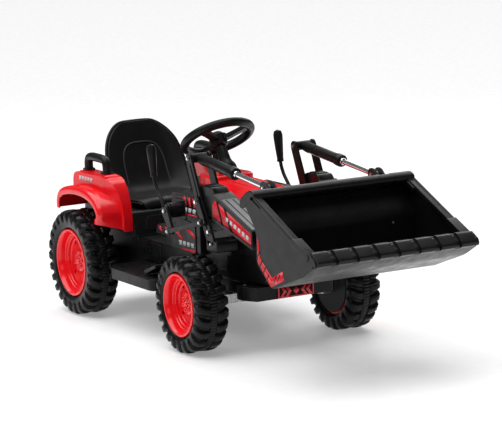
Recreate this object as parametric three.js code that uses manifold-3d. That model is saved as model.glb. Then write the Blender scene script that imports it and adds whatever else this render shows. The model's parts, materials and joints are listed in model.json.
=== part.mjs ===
// A child's ride-on tractor with a front loader: a steerable, pedal-switched toy vehicle.
// Millimetres, +X forward, +Y to the driver's left, +Z up.  The parts are laid out from the
// rear axle (x = 0) and the ground (z = 0); the group is then moved so that the middle of the
// bounding box's underside is the origin.
import * as THREE from 'three';
import { mergeVertices } from 'three/addons/utils/BufferGeometryUtils.js';
import Module from 'manifold-3d';

const wasm = await Module();
wasm.setup();

// ---------------------------------------------------------------- driving dimensions
const GAP = 0.3; // clearance between touching parts
const RIGHT = -1;
const LEFT = 1;

const REAR = { x: 0, radius: 150, rim: 95, outer: 280, width: 92 };
const FRONT = { x: 658, radius: 130, rim: 84, outer: 280, width: 97 };
const TYRE_WALL = 7;
const AXLE_RADIUS = 8;
const KINGPIN_Y = 165;
const KINGPIN_RADIUS = 7;
const STEER_ARM = 60; // from the kingpin back to the tie rod pin
const TIE_ROD_Z = 117;

const TUB = { rear: -165, front: 535, half: 135, bottom: 100, top: 232 };
const BASE_HALF = 149; // half width of the seat base, where the fenders sit against it
const SEAT_BASE_TOP = 300;
const COWL = { rear: 400, front: 535, half: 147, top: 384, skirtRear: 330, skirtHalf: 150, skirtTop: 300 };
const NOSE = { corner: 700, front: 825, half: 127, tip: 80, bottom: 150, shoulder: 330, top: 384 };
const CHIN = { front: 778, tip: 88, top: 182 }; // the nose is set back here, behind the bumper
const HOOD = { rear: 441, front: 846, half: 100, crown: 56, edge: 394, top: 420 };
const BINNACLE = { rear: 398, front: 496, half: 74, top: 430 }; // round the steering column
const WALL = 5;

const SEAT = { rear: -30, front: 128, half: 112, pan: 26, backThick: 24, backLean: 14, backTop: 220 };
const FENDER = { inner: 150, outer: 250, boxOuter: 208, wall: 8, boxTop: 397 };
const HANDLE = { rear: -56, front: 58, y: 176, top: 458, radius: 12.5 };
const FOOTREST = { rear: 190, front: 480, outer: 258, bottom: 135, top: 168 };
const BUMPER = { rear: 735, front: 805, half: 138, corner: 115, bottom: 140, top: 178 };

const MAST_TOP = [596, 504]; // strut pin
const ARM_PIVOT = [644, 395];
const MAST_FOOT = [700, 300];
const BUCKET_PIVOT = [962, 328];
const STRUT_END = [964, 466];
const ARM_Y = 160; // middle plane of each arm, mast and strut
const ARM_INNER = 130;
const ARM_OUTER = 190;
const MAST_PLATE = 7;
const MAST_INNER = 128;
const MAST_OUTER = 185;

const LEVER_PIVOT = [455, 347];
const LEVER_Y = 197;
const LEVER_CRANK = [34, -50]; // from the lever pivot, and from the arm pivot, to the link pins
const LINK_Y = 206;

const STRUT = { barrel: 14.5, collar: 16.5, stage: 10, rod: 7.5, neck: 5.5, barrelEnd: 205 };
const BUCKET_HALF = 237;
const BUCKET_WALL = 7;

const STEER_BASE = [458, 438];
const STEER_LEAN = 32; // degrees back from vertical
const STEER_RIM = { radius: 94, tube: 11, height: 100 };

// ---------------------------------------------------------------- colours
const paint = (color, roughness, metalness) => ({ color, roughness, metalness });
const BLACK = paint(0x1b1b1c, 0.5, 0);
const DARK = paint(0x262627, 0.6, 0);
const TYRE = paint(0x151515, 0.55, 0);
const RED = paint(0xd8101c, 0.3, 0);
const STEEL = paint(0x9a9da0, 0.4, 0.9);
const CHROME = paint(0xd8dadc, 0.15, 1);

// ---------------------------------------------------------------- shape helpers
// A closed outline through the given corners, each rounded by its own third value or by radius.
function outline(corners, radius = 0) {
  const shape = new THREE.Shape();
  corners.forEach((corner, i) => {
    const here = new THREE.Vector2(corner[0], corner[1]);
    const before = new THREE.Vector2(...corners.at(i - 1).slice(0, 2));
    const after = new THREE.Vector2(...corners[(i + 1) % corners.length].slice(0, 2));
    const r = corner[2] ?? radius;
    const back = before.clone().sub(here);
    const ahead = after.clone().sub(here);
    const reach = Math.min(r, back.length() * 0.45, ahead.length() * 0.45);
    const start = here.clone().addScaledVector(back.normalize(), reach);
    const end = here.clone().addScaledVector(ahead.normalize(), reach);
    if (i === 0) shape.moveTo(start.x, start.y);
    else shape.lineTo(start.x, start.y);
    if (reach > 0.01) shape.quadraticCurveTo(here.x, here.y, end.x, end.y);
  });
  shape.closePath();
  return shape;
}

// The same corners moved inwards by a wall thickness; the corners run anticlockwise.
function inset(corners, wall) {
  return corners.map((corner, i) => {
    const here = new THREE.Vector2(corner[0], corner[1]);
    const before = new THREE.Vector2(...corners.at(i - 1).slice(0, 2));
    const after = new THREE.Vector2(...corners[(i + 1) % corners.length].slice(0, 2));
    const inward = (from, to) => new THREE.Vector2(from.y - to.y, to.x - from.x).normalize();
    const a = inward(before, here);
    const b = inward(here, after);
    const miter = a.clone().add(b);
    miter.multiplyScalar((2 * wall) / miter.lengthSq());
    return [here.x + miter.x, here.y + miter.y];
  });
}

function extrude(shape, depth, segments = 3) {
  return new THREE.ExtrudeGeometry(shape, { depth, bevelEnabled: false, curveSegments: segments });
}

function toSolid(geometry) {
  const bare = geometry.clone();
  bare.deleteAttribute('normal');
  bare.deleteAttribute('uv');
  const merged = mergeVertices(bare, 1e-3);
  return new wasm.Manifold(new wasm.Mesh({
    numProp: 3,
    vertProperties: merged.attributes.position.array,
    triVerts: Uint32Array.from(merged.index.array),
  }));
}

function toGeometry(solid) {
  const { numProp, vertProperties, triVerts } = solid.getMesh();
  const positions = new Float32Array((vertProperties.length / numProp) * 3);
  for (let i = 0; i < positions.length; i += 1) {
    positions[i] = vertProperties[Math.floor(i / 3) * numProp + (i % 3)];
  }
  const geometry = new THREE.BufferGeometry();
  geometry.setAttribute('position', new THREE.BufferAttribute(positions, 3));
  geometry.setIndex([...triVerts]);
  return geometry;
}

const join = (...solids) => solids.reduce((sum, solid) => sum.add(solid));
const cut = (solid, ...tools) => tools.reduce((left, tool) => left.subtract(tool), solid);

const ordered = (a, b) => [Math.min(a, b), Math.max(a, b)];

// An outline of (x, z) corners, extruded across the vehicle between two y values.
function across(corners, yA, yB, radius = 0, segments = 3) {
  const [low, high] = ordered(yA, yB);
  const geometry = extrude(outline(corners, radius), high - low, segments);
  return toSolid(geometry.rotateX(Math.PI / 2).translate(0, high, 0));
}

// An outline of (x, y) corners, extruded upwards between two z values.
function upward(corners, zLow, zHigh, radius = 0, segments = 3) {
  return toSolid(extrude(outline(corners, radius), zHigh - zLow, segments).translate(0, 0, zLow));
}

// An outline of (y, z) corners, extruded along the vehicle between two x values.
function along(corners, xLow, xHigh, radius = 0, segments = 3) {
  const turn = new THREE.Matrix4().set(0, 0, 1, xLow, 1, 0, 0, 0, 0, 1, 0, 0, 0, 0, 0, 1);
  return toSolid(extrude(outline(corners, radius), xHigh - xLow, segments).applyMatrix4(turn));
}

function box(xLow, xHigh, yA, yB, zLow, zHigh) {
  const [yLow, yHigh] = ordered(yA, yB);
  const geometry = new THREE.BoxGeometry(xHigh - xLow, yHigh - yLow, zHigh - zLow);
  return toSolid(geometry.translate((xLow + xHigh) / 2, (yLow + yHigh) / 2, (zLow + zHigh) / 2));
}

// A round bar from one point to another, with one or two radii.
function bar(from, to, radius, sides = 20, endRadius = radius) {
  const a = new THREE.Vector3(...from);
  const b = new THREE.Vector3(...to);
  const geometry = new THREE.CylinderGeometry(endRadius, radius, a.distanceTo(b), sides);
  const turn = new THREE.Quaternion().setFromUnitVectors(
    new THREE.Vector3(0, 1, 0),
    b.clone().sub(a).normalize(),
  );
  const middle = a.clone().add(b).multiplyScalar(0.5);
  return toSolid(geometry.applyQuaternion(turn).translate(middle.x, middle.y, middle.z));
}

// A pin or bore across the vehicle at an (x, z) place, between two y values.
const pin = ([x, z], yA, yB, radius, sides = 20) => bar([x, yA, z], [x, yB, z], radius, sides);

// A flat strap between two (x, z) places, with round ends.
function strap([xA, zA], [xB, zB], halfWidth, endWidth, yA, yB) {
  const angle = Math.atan2(zB - zA, xB - xA);
  const side = (x, z, w, turn) => [x + w * Math.cos(angle + turn), z + w * Math.sin(angle + turn)];
  const corners = [
    side(xA, zA, halfWidth, -Math.PI / 2),
    side(xB, zB, endWidth, -Math.PI / 2),
    side(xB, zB, endWidth, Math.PI / 2),
    side(xA, zA, halfWidth, Math.PI / 2),
  ];
  return join(
    across(corners, yA, yB),
    pin([xA, zA], yA, yB, halfWidth, 16),
    pin([xB, zB], yA, yB, endWidth, 16),
  );
}

// A bent round tube through a list of points.
function tube(points, radius, steps, sides = 10) {
  const section = new THREE.Shape();
  section.absarc(0, 0, radius, 0, Math.PI * 2);
  const places = points.map((point) => new THREE.Vector3(...point));
  const path = new THREE.CatmullRomCurve3(places, false, 'centripetal');
  return toSolid(new THREE.ExtrudeGeometry(section, {
    extrudePath: path,
    steps,
    bevelEnabled: false,
    curveSegments: sides / 2,
  }));
}

// A turned solid about a crosswise axle: profile points are (radius, distance outwards).
function turned(profile, side, x, z, segments) {
  const ring = profile.map(([r, out]) => new THREE.Vector2(r, out));
  const geometry = new THREE.LatheGeometry(ring, segments);
  geometry.rotateX(side === LEFT ? 0 : Math.PI);
  return toSolid(geometry.rotateY(Math.PI).translate(x, 0, z));
}

const group = new THREE.Group();

function add(name, solid, look) {
  const material = new THREE.MeshStandardMaterial({ ...look, flatShading: true });
  const mesh = new THREE.Mesh(toGeometry(solid), material);
  mesh.name = name;
  group.add(mesh);
}

const sideName = (side) => (side === RIGHT ? 'right' : 'left');

// ---------------------------------------------------------------- body shells
// A shell across the vehicle, open underneath.
function openShell(corners, half, wall, bottom) {
  const inner = inset(corners, wall);
  const xs = inner.map((corner) => corner[0]);
  const mouth = box(Math.min(...xs) + wall, Math.max(...xs) - wall, wall - half, half - wall,
    bottom - 1, bottom + 2 * wall);
  return cut(across(corners, -half, half), across(inner, wall - half, half - wall), mouth);
}

function tub() {
  const corners = [
    [TUB.rear + 15, TUB.bottom],
    [TUB.front, TUB.bottom],
    [TUB.front, TUB.top],
    [TUB.rear, TUB.top],
    [TUB.rear, TUB.bottom + 40],
  ];
  const shell = openShell(corners, TUB.half, WALL, TUB.bottom);
  return cut(shell, pin([REAR.x, REAR.radius], -TUB.half - 1, TUB.half + 1, AXLE_RADIUS + GAP));
}

function seatBase() {
  const corners = [
    [TUB.rear + 4, TUB.top + GAP],
    [178, TUB.top + GAP],
    [150, SEAT_BASE_TOP],
    [TUB.rear + 14, SEAT_BASE_TOP],
  ];
  return openShell(corners, BASE_HALF, WALL, TUB.top);
}

function cowl() {
  const low = TUB.top + GAP;
  const skirt = [
    [COWL.skirtRear, low],
    [520, low],
    [520, COWL.skirtTop],
    [COWL.skirtRear + 40, COWL.skirtTop],
  ];
  const dash = [
    [COWL.rear - 14, low],
    [COWL.front, low],
    [COWL.front, COWL.top],
    [COWL.rear, COWL.top],
  ];
  const outer = join(
    across(skirt, -COWL.skirtHalf, COWL.skirtHalf),
    across(dash, -COWL.half, COWL.half),
  );
  const inner = join(
    across(inset(skirt, WALL), WALL - COWL.skirtHalf, COWL.skirtHalf - WALL),
    across(inset(dash, WALL), WALL - COWL.half, COWL.half - WALL),
    box(COWL.rear, COWL.front - WALL, WALL - COWL.half, COWL.half - WALL, low - 1, low + 3 * WALL),
  );
  return cut(outer, inner);
}

// A plan of the nose: straight sides, then drawn in to a narrower front.
function nosePlan(half, corner, front, tip) {
  return [
    [TUB.front + GAP, -half],
    [corner, -half],
    [front, -tip],
    [front, tip],
    [corner, half],
    [TUB.front + GAP, half],
  ];
}

function nose() {
  const chin = nosePlan(NOSE.half, NOSE.corner, CHIN.front, CHIN.tip);
  const plan = nosePlan(NOSE.half, NOSE.corner, NOSE.front, NOSE.tip);
  const top = nosePlan(HOOD.half, NOSE.corner + 10, NOSE.front, NOSE.tip);
  const outer = join(
    upward(chin, NOSE.bottom, CHIN.top),
    upward(plan, CHIN.top - 1, NOSE.shoulder),
    upward(top, NOSE.shoulder - 1, NOSE.top),
  );
  const inner = join(
    upward(inset(chin, WALL), NOSE.bottom + WALL, NOSE.shoulder - WALL),
    upward(inset(top, WALL), NOSE.shoulder - 2 * WALL, NOSE.top - WALL),
    box(TUB.front + 60, NOSE.corner - 90, -40, 40, NOSE.bottom - 1, NOSE.bottom + 2 * WALL),
  );
  return cut(outer, inner);
}

// The hood, with a raised binnacle at its rear; both are open underneath.
function hood() {
  const section = [
    [-HOOD.half, COWL.top + GAP],
    [HOOD.half, COWL.top + GAP],
    [HOOD.half, HOOD.edge],
    [HOOD.crown, HOOD.top],
    [-HOOD.crown, HOOD.top],
    [-HOOD.half, HOOD.edge],
  ];
  const plan = [
    [HOOD.rear, -HOOD.half - 1],
    [760, -HOOD.half - 1],
    [HOOD.front, -66],
    [HOOD.front, 66],
    [760, HOOD.half + 1],
    [HOOD.rear, HOOD.half + 1],
  ];
  const outer = along(section, HOOD.rear, HOOD.front);
  const trimmed = outer.intersect(upward(plan, COWL.top, HOOD.top + 1));
  const room = along(inset(section, WALL), HOOD.rear + WALL, HOOD.front - 12);
  const mouth = box(HOOD.rear + 20, 740, -70, 70, COWL.top, COWL.top + 12);
  const { rear, front, half, top } = BINNACLE;
  const binnacle = box(rear, front, -half, half, COWL.top + GAP, top);
  const hollow = box(rear + WALL, front - WALL, WALL - half, half - WALL, COWL.top - 1, top - WALL);
  const inside = room.intersect(upward(inset(plan, 8), COWL.top, HOOD.top));
  return cut(join(trimmed, binnacle), inside, mouth, hollow);
}

// ---------------------------------------------------------------- seat, fenders, handles
function seat() {
  const bottom = SEAT_BASE_TOP + GAP;
  const { rear, front, half, backThick, backTop } = SEAT;
  const pan = upward([
    [rear - 14, -half],
    [front, -half + 14, 40],
    [front, half - 14, 40],
    [rear - 14, half],
  ], bottom, bottom + SEAT.pan);
  const foot = 6;
  const upright = along([
    [-half + 1, foot, 0],
    [half - 1, foot, 0],
    [half + 13, 135, 40],
    [half - 36, backTop, 60],
    [36 - half, backTop, 60],
    [-half - 13, 135, 40],
  ], -backThick, 0, 0, 5);
  const back = upright.rotate([0, -SEAT.backLean, 0]).translate([rear, 0, bottom]);
  const wing = [
    [rear - 12, bottom + 12],
    [front - 42, bottom + 12],
    [front - 60, bottom + 40, 20],
    [rear + 26, bottom + 72, 20],
    [rear - 46, bottom + 150],
  ];
  const wings = [RIGHT, LEFT].map((side) => across(wing, side * (half - 15), side * (half - 3), 6));
  return join(pan, back, ...wings);
}

// The arch over a rear wheel, from its rear edge over the top to its front lower corner.
function fender(side) {
  const arch = [
    [-139, 290],
    [150, 245],
    [152, 290],
    [128, 340],
    [60, 365],
    [-44, 361],
    [-104, 338],
  ];
  const raised = [
    [-96, 350],
    [140, 335],
    [122, 382, 10],
    [104, FENDER.boxTop, 10],
    [-78, FENDER.boxTop, 12],
  ];
  const inner = side * FENDER.inner;
  const past = side * (FENDER.outer + 5);
  const outer = join(
    across(arch, inner, side * FENDER.outer),
    across(raised, inner, side * FENDER.boxOuter, 4),
  );
  const room = join(
    across(inset(arch, FENDER.wall), side * (FENDER.inner + FENDER.wall), past),
    across(inset(raised, FENDER.wall), side * (FENDER.inner + FENDER.wall),
      side * (FENDER.boxOuter - FENDER.wall)),
    across([[-125, 240], [138, 240], [138, 300], [-118, 305]], side * (FENDER.inner + FENDER.wall), past),
  );
  const chamfer = upward([
    [90, side * 262],
    [90, side * (FENDER.outer + 0.5)],
    [160, side * 198],
    [160, side * 262],
  ], 230, 380);
  return cut(outer, room, chamfer);
}

function handle(side) {
  const { rear, front, y, top, radius } = HANDLE;
  const foot = FENDER.boxTop + GAP;
  const points = [
    [rear, side * y, foot],
    [rear, side * y, top - 34],
    [rear + 8, side * y, top - 16],
    [rear + 26, side * y, top - radius],
    [front - 26, side * y, top - radius],
    [front - 8, side * y, top - 16],
    [front, side * y, top - 34],
    [front, side * y, foot],
  ];
  return tube(points, radius, 22, 10);
}

// A step beside the body, open underneath.
function footrest(side) {
  const { rear, front, outer, bottom, top } = FOOTREST;
  const inner = TUB.half + GAP;
  const step = upward([
    [rear, side * inner],
    [front, side * inner],
    [front, side * outer, 24],
    [rear + 30, side * outer, 24],
    [rear, side * (outer - 26), 10],
  ], bottom, top);
  const [yA, yB] = [side * (inner + WALL), side * (outer - 14)];
  return cut(step, box(rear + 20, front - 14, yA, yB, bottom - 1, top - WALL));
}

// ---------------------------------------------------------------- front end
// A bow-shaped bar round the chin, resting against it.
function bumper() {
  const { rear, front, half, corner, bottom, top } = BUMPER;
  const bow = upward([
    [rear, -half],
    [rear + 30, -half],
    [front, -corner],
    [front, corner],
    [rear + 30, half],
    [rear, half],
  ], bottom, top);
  const chin = nosePlan(NOSE.half + GAP, NOSE.corner, CHIN.front + GAP, CHIN.tip + GAP);
  return cut(bow, upward(chin, bottom - 1, top + 1));
}

function bumperPlate() {
  return box(BUMPER.front + GAP, BUMPER.front + 4, -54, 54, BUMPER.bottom + 2, BUMPER.top - 2);
}

function frontBeam() {
  const x = FRONT.x;
  const z = FRONT.radius;
  const upright = (side, reach, radius) => {
    const y = side * KINGPIN_Y;
    return bar([x, y, z - reach], [x, y, z + reach], radius);
  };
  const ends = [RIGHT, LEFT].map((side) => upright(side, 16, 13));
  const bores = [RIGHT, LEFT].map((side) => upright(side, 30, KINGPIN_RADIUS + GAP));
  const beam = box(x - 14, x + 14, -KINGPIN_Y, KINGPIN_Y, z - 12, z + 12);
  const saddle = box(x - 40, x + 40, -60, 60, z - 12, NOSE.bottom - GAP);
  return cut(join(beam, saddle, ...ends), ...bores);
}

function knuckle(side) {
  const x = FRONT.x;
  const z = FRONT.radius;
  const far = side * (KINGPIN_Y + 21);
  const plate = (low) => join(
    box(x - 12, x + 12, side * KINGPIN_Y, far, low, low + 7),
    bar([x, side * KINGPIN_Y, low], [x, side * KINGPIN_Y, low + 7], 12, 16),
  );
  const low = z - 24;
  const arm = box(x - STEER_ARM, x, side * KINGPIN_Y - 7, side * KINGPIN_Y + 7, low, low + 6);
  const pinX = x - STEER_ARM;
  const armPin = bar([pinX, side * KINGPIN_Y, low], [pinX, side * KINGPIN_Y, TIE_ROD_Z + 10], 4, 12);
  return join(
    plate(low),
    plate(z + 17),
    box(x - 12, x + 12, far - side * 6, far, low, z + 24),
    bar([x, side * KINGPIN_Y, low], [x, side * KINGPIN_Y, z + 24], KINGPIN_RADIUS),
    pin([x, z], far - side * 3, side * (FRONT.outer - 34), AXLE_RADIUS, 16),
    arm,
    bar([pinX, side * KINGPIN_Y, low], [pinX, side * KINGPIN_Y, low + 6], 9, 14),
    armPin,
  );
}

function tieRod() {
  const x = FRONT.x - STEER_ARM;
  const low = TIE_ROD_Z - 5;
  const upright = (side, from, to, radius) => {
    const y = side * KINGPIN_Y;
    return bar([x, y, from], [x, y, to], radius);
  };
  const eyes = [RIGHT, LEFT].map((side) => upright(side, low, low + 10, 14));
  const holes = [RIGHT, LEFT].map((side) => upright(side, low - 1, low + 11, 8));
  const rod = bar([x, -KINGPIN_Y + 10, TIE_ROD_Z], [x, KINGPIN_Y - 10, TIE_ROD_Z], 5, 12);
  return cut(join(rod, ...eyes), ...holes);
}

// ---------------------------------------------------------------- wheels and drive
// A hollow tyre, open towards the rim it sits on.
function tyre(wheel, side) {
  const { radius, rim, width, outer } = wheel;
  const h = width / 2;
  const outside = [
    [rim + 1, -h + 12],
    [rim + 14, -h],
    [radius - 18, -h],
    [radius - 3, -h + 10],
    [radius, -h + 26],
    [radius, h - 26],
    [radius - 3, h - 10],
    [radius - 18, h],
    [rim + 14, h],
    [rim + 1, h - 12],
  ];
  const inside = [
    [rim + 1, h - 22],
    [rim + 17, h - TYRE_WALL],
    [radius - 21, h - TYRE_WALL],
    [radius - TYRE_WALL, h - 22],
    [radius - TYRE_WALL, 22 - h],
    [radius - 21, TYRE_WALL - h],
    [rim + 17, TYRE_WALL - h],
    [rim + 1, 22 - h],
  ];
  const solid = turned([...outside, ...inside, outside[0]], side, wheel.x, radius, 48);
  return solid.translate([0, side * (outer - h), 0]);
}

// A dished wheel with a raised centre, closed outside and bored from the inside.
function rim(wheel, side) {
  const { rim: r, width, outer } = wheel;
  const h = width / 2;
  const edge = r + 1 - GAP;
  const profile = [
    [0, h - 32],
    [AXLE_RADIUS + GAP, h - 32],
    [AXLE_RADIUS + GAP, -h + 18],
    [22, -h + 18],
    [22, h - 40],
    [r - 6, h - 40],
    [r - 6, -h + 14],
    [edge, -h + 14],
    [edge, h - 6],
    [r - 10, h - 6],
    [r - 26, h - 36],
    [28, h - 30],
    [24, h - 24],
    [0, h - 24],
  ];
  const solid = turned(profile, side, wheel.x, wheel.radius, 32);
  return solid.translate([0, side * (outer - h), 0]);
}

function rearAxle() {
  const end = REAR.outer - 34;
  return pin([REAR.x, REAR.radius], -end, end, AXLE_RADIUS, 16);
}

function gearbox(side) {
  const shell = across([
    [-62, 118, 12],
    [42, 118, 20],
    [42, 186, 20],
    [-62, 178, 12],
  ], side * (TUB.half + GAP), side * 182, 12);
  return cut(shell, pin([REAR.x, REAR.radius], side * 130, side * 190, AXLE_RADIUS + GAP, 16));
}

// ---------------------------------------------------------------- steering
const lean = THREE.MathUtils.degToRad(STEER_LEAN);
const steerPoint = (height) => [
  STEER_BASE[0] - height * Math.sin(lean),
  0,
  STEER_BASE[1] + height * Math.cos(lean),
];

function steeringColumn() {
  const post = join(
    bar(steerPoint(-12), steerPoint(72), 17, 20, 13),
    bar(steerPoint(-12), steerPoint(14), 24, 20, 20),
  );
  return cut(post, box(380, 560, -60, 60, 380, BINNACLE.top + GAP));
}

function steeringWheel() {
  const { radius, tube: thick, height } = STEER_RIM;
  const ring = toSolid(new THREE.TorusGeometry(radius, thick, 10, 36));
  const spokes = [50, 180, -50].map((degrees) => {
    const angle = THREE.MathUtils.degToRad(degrees);
    const out = [(radius - 4) * Math.cos(angle), (radius - 4) * Math.sin(angle), -2];
    return bar([0, 0, -14], out, 10, 10, 7);
  });
  const hub = toSolid(new THREE.CylinderGeometry(24, 20, 34, 20).rotateX(Math.PI / 2).translate(0, 0, -11));
  const pocket = toSolid(new THREE.CylinderGeometry(17, 17, 12, 20).rotateX(Math.PI / 2).translate(0, 0, 4));
  const wheel = cut(join(ring, hub, ...spokes), pocket);
  return wheel.rotate([0, -STEER_LEAN, 0]).translate(steerPoint(height));
}

function hornButton() {
  const button = new THREE.CylinderGeometry(15, 16.5, 9, 20);
  button.rotateX(Math.PI / 2).translate(0, 0, 7.5);
  return toSolid(button).rotate([0, -STEER_LEAN, 0]).translate(steerPoint(STEER_RIM.height));
}

// ---------------------------------------------------------------- loader
const offset = ([x, z], [dx, dz]) => [x + dx, z + dz];

function mast(side) {
  const plates = [MAST_INNER, MAST_OUTER].map((y) => join(
    strap(MAST_TOP, ARM_PIVOT, 15, 17, side * y, side * (y + MAST_PLATE)),
    strap(ARM_PIVOT, MAST_FOOT, 17, 19, side * y, side * (y + MAST_PLATE)),
  ));
  const foot = box(678, 738, side * MAST_INNER, side * (MAST_OUTER + MAST_PLATE), 268, 300);
  const strutPin = pin(MAST_TOP, side * MAST_INNER, side * (MAST_OUTER + MAST_PLATE + 3), 5.5, 16);
  const bore = pin(ARM_PIVOT, side * 120, side * 200, 8 + GAP);
  return cut(join(...plates, foot, strutPin), bore);
}

function arm(side) {
  const beam = [
    [714, 354],
    [925, 303],
    [925, 352],
    [751, 413],
    [714, 426],
  ];
  const tongue = [
    [636, 368, 10],
    [660, 367],
    [716, 354],
    [716, 425],
    [702, 438, 6],
    [642, 438, 10],
    [622, 418, 10],
    [622, 384, 10],
  ];
  const tip = [
    [924, 305],
    [964, 307, 16],
    [982, 318, 12],
    [982, 338, 12],
    [964, 349, 12],
    [924, 350],
  ];
  const pocket = [
    [728, 357],
    [850, 328],
    [850, 372],
    [757, 404],
    [728, 414],
  ];
  const solid = join(
    across(tongue, side * (ARM_Y - 23.5), side * (ARM_Y + 23.5), 4),
    across(beam, side * ARM_INNER, side * ARM_OUTER),
    across(tip, side * (ARM_Y - 12), side * (ARM_Y + 12), 4),
  );
  return cut(
    solid,
    across(pocket, side * (ARM_INNER - 1), side * (ARM_OUTER - WALL)),
    pin(ARM_PIVOT, side * 120, side * 200, 8 + GAP),
    pin(BUCKET_PIVOT, side * 120, side * 200, 6 + GAP, 16),
  );
}

function armCrank(side) {
  const end = offset(ARM_PIVOT, LEVER_CRANK);
  return join(
    pin(ARM_PIVOT, side * 124, side * 199, 8),
    strap(ARM_PIVOT, end, 14, 10, side * 194, side * 199),
    pin(end, side * 194, side * 212, 5, 14),
  );
}

function crossTube() {
  return pin([895, 334], GAP - ARM_INNER, ARM_INNER - GAP, 11, 16);
}

// The opening edge runs from the top rim to the lip; the back and floor are folded plate.
function bucket() {
  const side = [
    [968, 444],
    [1036, 372],
    [1031, 290],
    [1105, 235],
    [1258, 288],
    [1318, 318],
    [1292, 344],
    [1006, 468],
  ];
  const room = [
    [990, 447],
    [1044, 376],
    [1040, 295],
    [1108, 244],
    [1256, 296],
    [1400, 364],
    [1400, 600],
    [1012, 600],
    [1012, 462],
  ];
  const inside = BUCKET_HALF - BUCKET_WALL;
  const shell = cut(across(side, -BUCKET_HALF, BUCKET_HALF), across(room, -inside, inside));
  const ears = [];
  const notches = [];
  for (const hand of [RIGHT, LEFT]) {
    for (const y of [ARM_Y - 13, ARM_Y + 7]) {
      ears.push(across([
        [946, 452, 8],
        [980, 436],
        [1000, 440],
        [1000, 462],
        [974, 486, 8],
        [948, 482, 10],
      ], hand * y, hand * (y + 6), 4));
    }
    for (const y of [ARM_Y - 22, ARM_Y + 13]) {
      ears.push(across([
        [946, 312, 10],
        [1034, 296],
        [1036, 368],
        [1028, 368],
        [946, 344, 10],
      ], hand * y, hand * (y + 9), 4));
    }
    ears.push(pin(BUCKET_PIVOT, hand * (ARM_Y - 22), hand * (ARM_Y + 22), 6, 16));
    notches.push(pin(STRUT_END, hand * (ARM_Y - 7), hand * (ARM_Y + 7), 19, 16));
  }
  return cut(join(shell, ...ears), ...notches);
}

// A toothed strip clamped over the bucket's lip.
function cuttingEdge() {
  const teeth = 8;
  const pitch = (2 * BUCKET_HALF) / teeth;
  const front = 1332;
  const points = [[1296, -BUCKET_HALF]];
  for (let i = 0; i < teeth; i += 1) {
    const start = -BUCKET_HALF + i * pitch;
    points.push([front - 8, start], [front, start + 5], [front, start + pitch - 12]);
    points.push([front - 8, start + pitch - 7]);
  }
  points.push([front - 8, BUCKET_HALF], [1296, BUCKET_HALF]);
  const strip = upward(points, 0, 12);
  const turn = 27;
  const placed = strip.translate([-1296, 0, 0]).rotate([0, -turn, 0]).translate([1302, 0, 324]);
  const clearance = across([
    [1240, 270],
    [1262, 288.6 - GAP],
    [1318 + GAP, 318 - GAP],
    [1292.3, 344.5],
    [1240, 368],
  ], -260, 260);
  return cut(placed, clearance);
}

// ---------------------------------------------------------------- telescopic struts
const strutAngle = Math.atan2(STRUT_END[1] - MAST_TOP[1], STRUT_END[0] - MAST_TOP[0]);
const strutLength = Math.hypot(STRUT_END[0] - MAST_TOP[0], STRUT_END[1] - MAST_TOP[1]);

function strutPoint(side, distance) {
  return [
    MAST_TOP[0] + distance * Math.cos(strutAngle),
    side * ARM_Y,
    MAST_TOP[1] + distance * Math.sin(strutAngle),
  ];
}

const strutBar = (side, from, to, radius, sides = 20) =>
  bar(strutPoint(side, from), strutPoint(side, to), radius, sides);

function strutBarrel(side) {
  const head = pin(MAST_TOP, side * (ARM_Y - 22), side * (ARM_Y + 22), 12);
  const body = join(
    head,
    strutBar(side, 6, STRUT.barrelEnd, STRUT.barrel),
    strutBar(side, STRUT.barrelEnd - 18, STRUT.barrelEnd, STRUT.collar),
  );
  return cut(
    body,
    strutBar(side, 16, STRUT.barrelEnd + 1, STRUT.stage + GAP),
    pin(MAST_TOP, side * 120, side * 200, 5.5 + GAP, 16),
  );
}

function strutStage(side) {
  return cut(
    strutBar(side, 76, STRUT.barrelEnd + 7, STRUT.stage),
    strutBar(side, 70, STRUT.barrelEnd + 9, STRUT.rod + GAP),
  );
}

function strutRod(side) {
  return join(
    strutBar(side, 112, strutLength - 23, STRUT.rod),
    strutBar(side, strutLength - 24, strutLength - 4, STRUT.neck, 16),
    pin(STRUT_END, side * (ARM_Y - 5.5), side * (ARM_Y + 5.5), 9, 16),
  );
}

// ---------------------------------------------------------------- levers and pedal
function leverBracket(side) {
  return join(
    pin(LEVER_PIVOT, side * (COWL.half + GAP), side * 190, 19),
    pin(LEVER_PIVOT, side * 189, side * 202.5, 6, 16),
  );
}

function lever(side) {
  const end = offset(LEVER_PIVOT, LEVER_CRANK);
  const hub = strap(LEVER_PIVOT, end, 17, 10, side * 191, side * 199);
  const rod = tube([
    [LEVER_PIVOT[0] - 2, side * LEVER_Y, LEVER_PIVOT[1] + 12],
    [436, side * LEVER_Y, 380],
    [411, side * LEVER_Y, 406],
    [400, side * LEVER_Y, 436],
    [399, side * LEVER_Y, 446],
  ], 5, 14, 8);
  const solid = join(hub, rod, pin(end, side * 191, side * 212, 5, 14));
  return cut(solid, pin(LEVER_PIVOT, side * 185, side * 205, 6 + GAP, 16));
}

function leverGrip(side) {
  const grip = join(
    bar([399.5, side * LEVER_Y, 438], [390, side * LEVER_Y, 514], 9, 16, 13),
    bar([390, side * LEVER_Y, 514], [389, side * LEVER_Y, 522], 13, 16, 8),
  );
  return cut(grip, tube([
    [404, side * LEVER_Y, 424],
    [400, side * LEVER_Y, 436],
    [399, side * LEVER_Y, 447.5],
  ], 5 + GAP, 6, 8));
}

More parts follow.
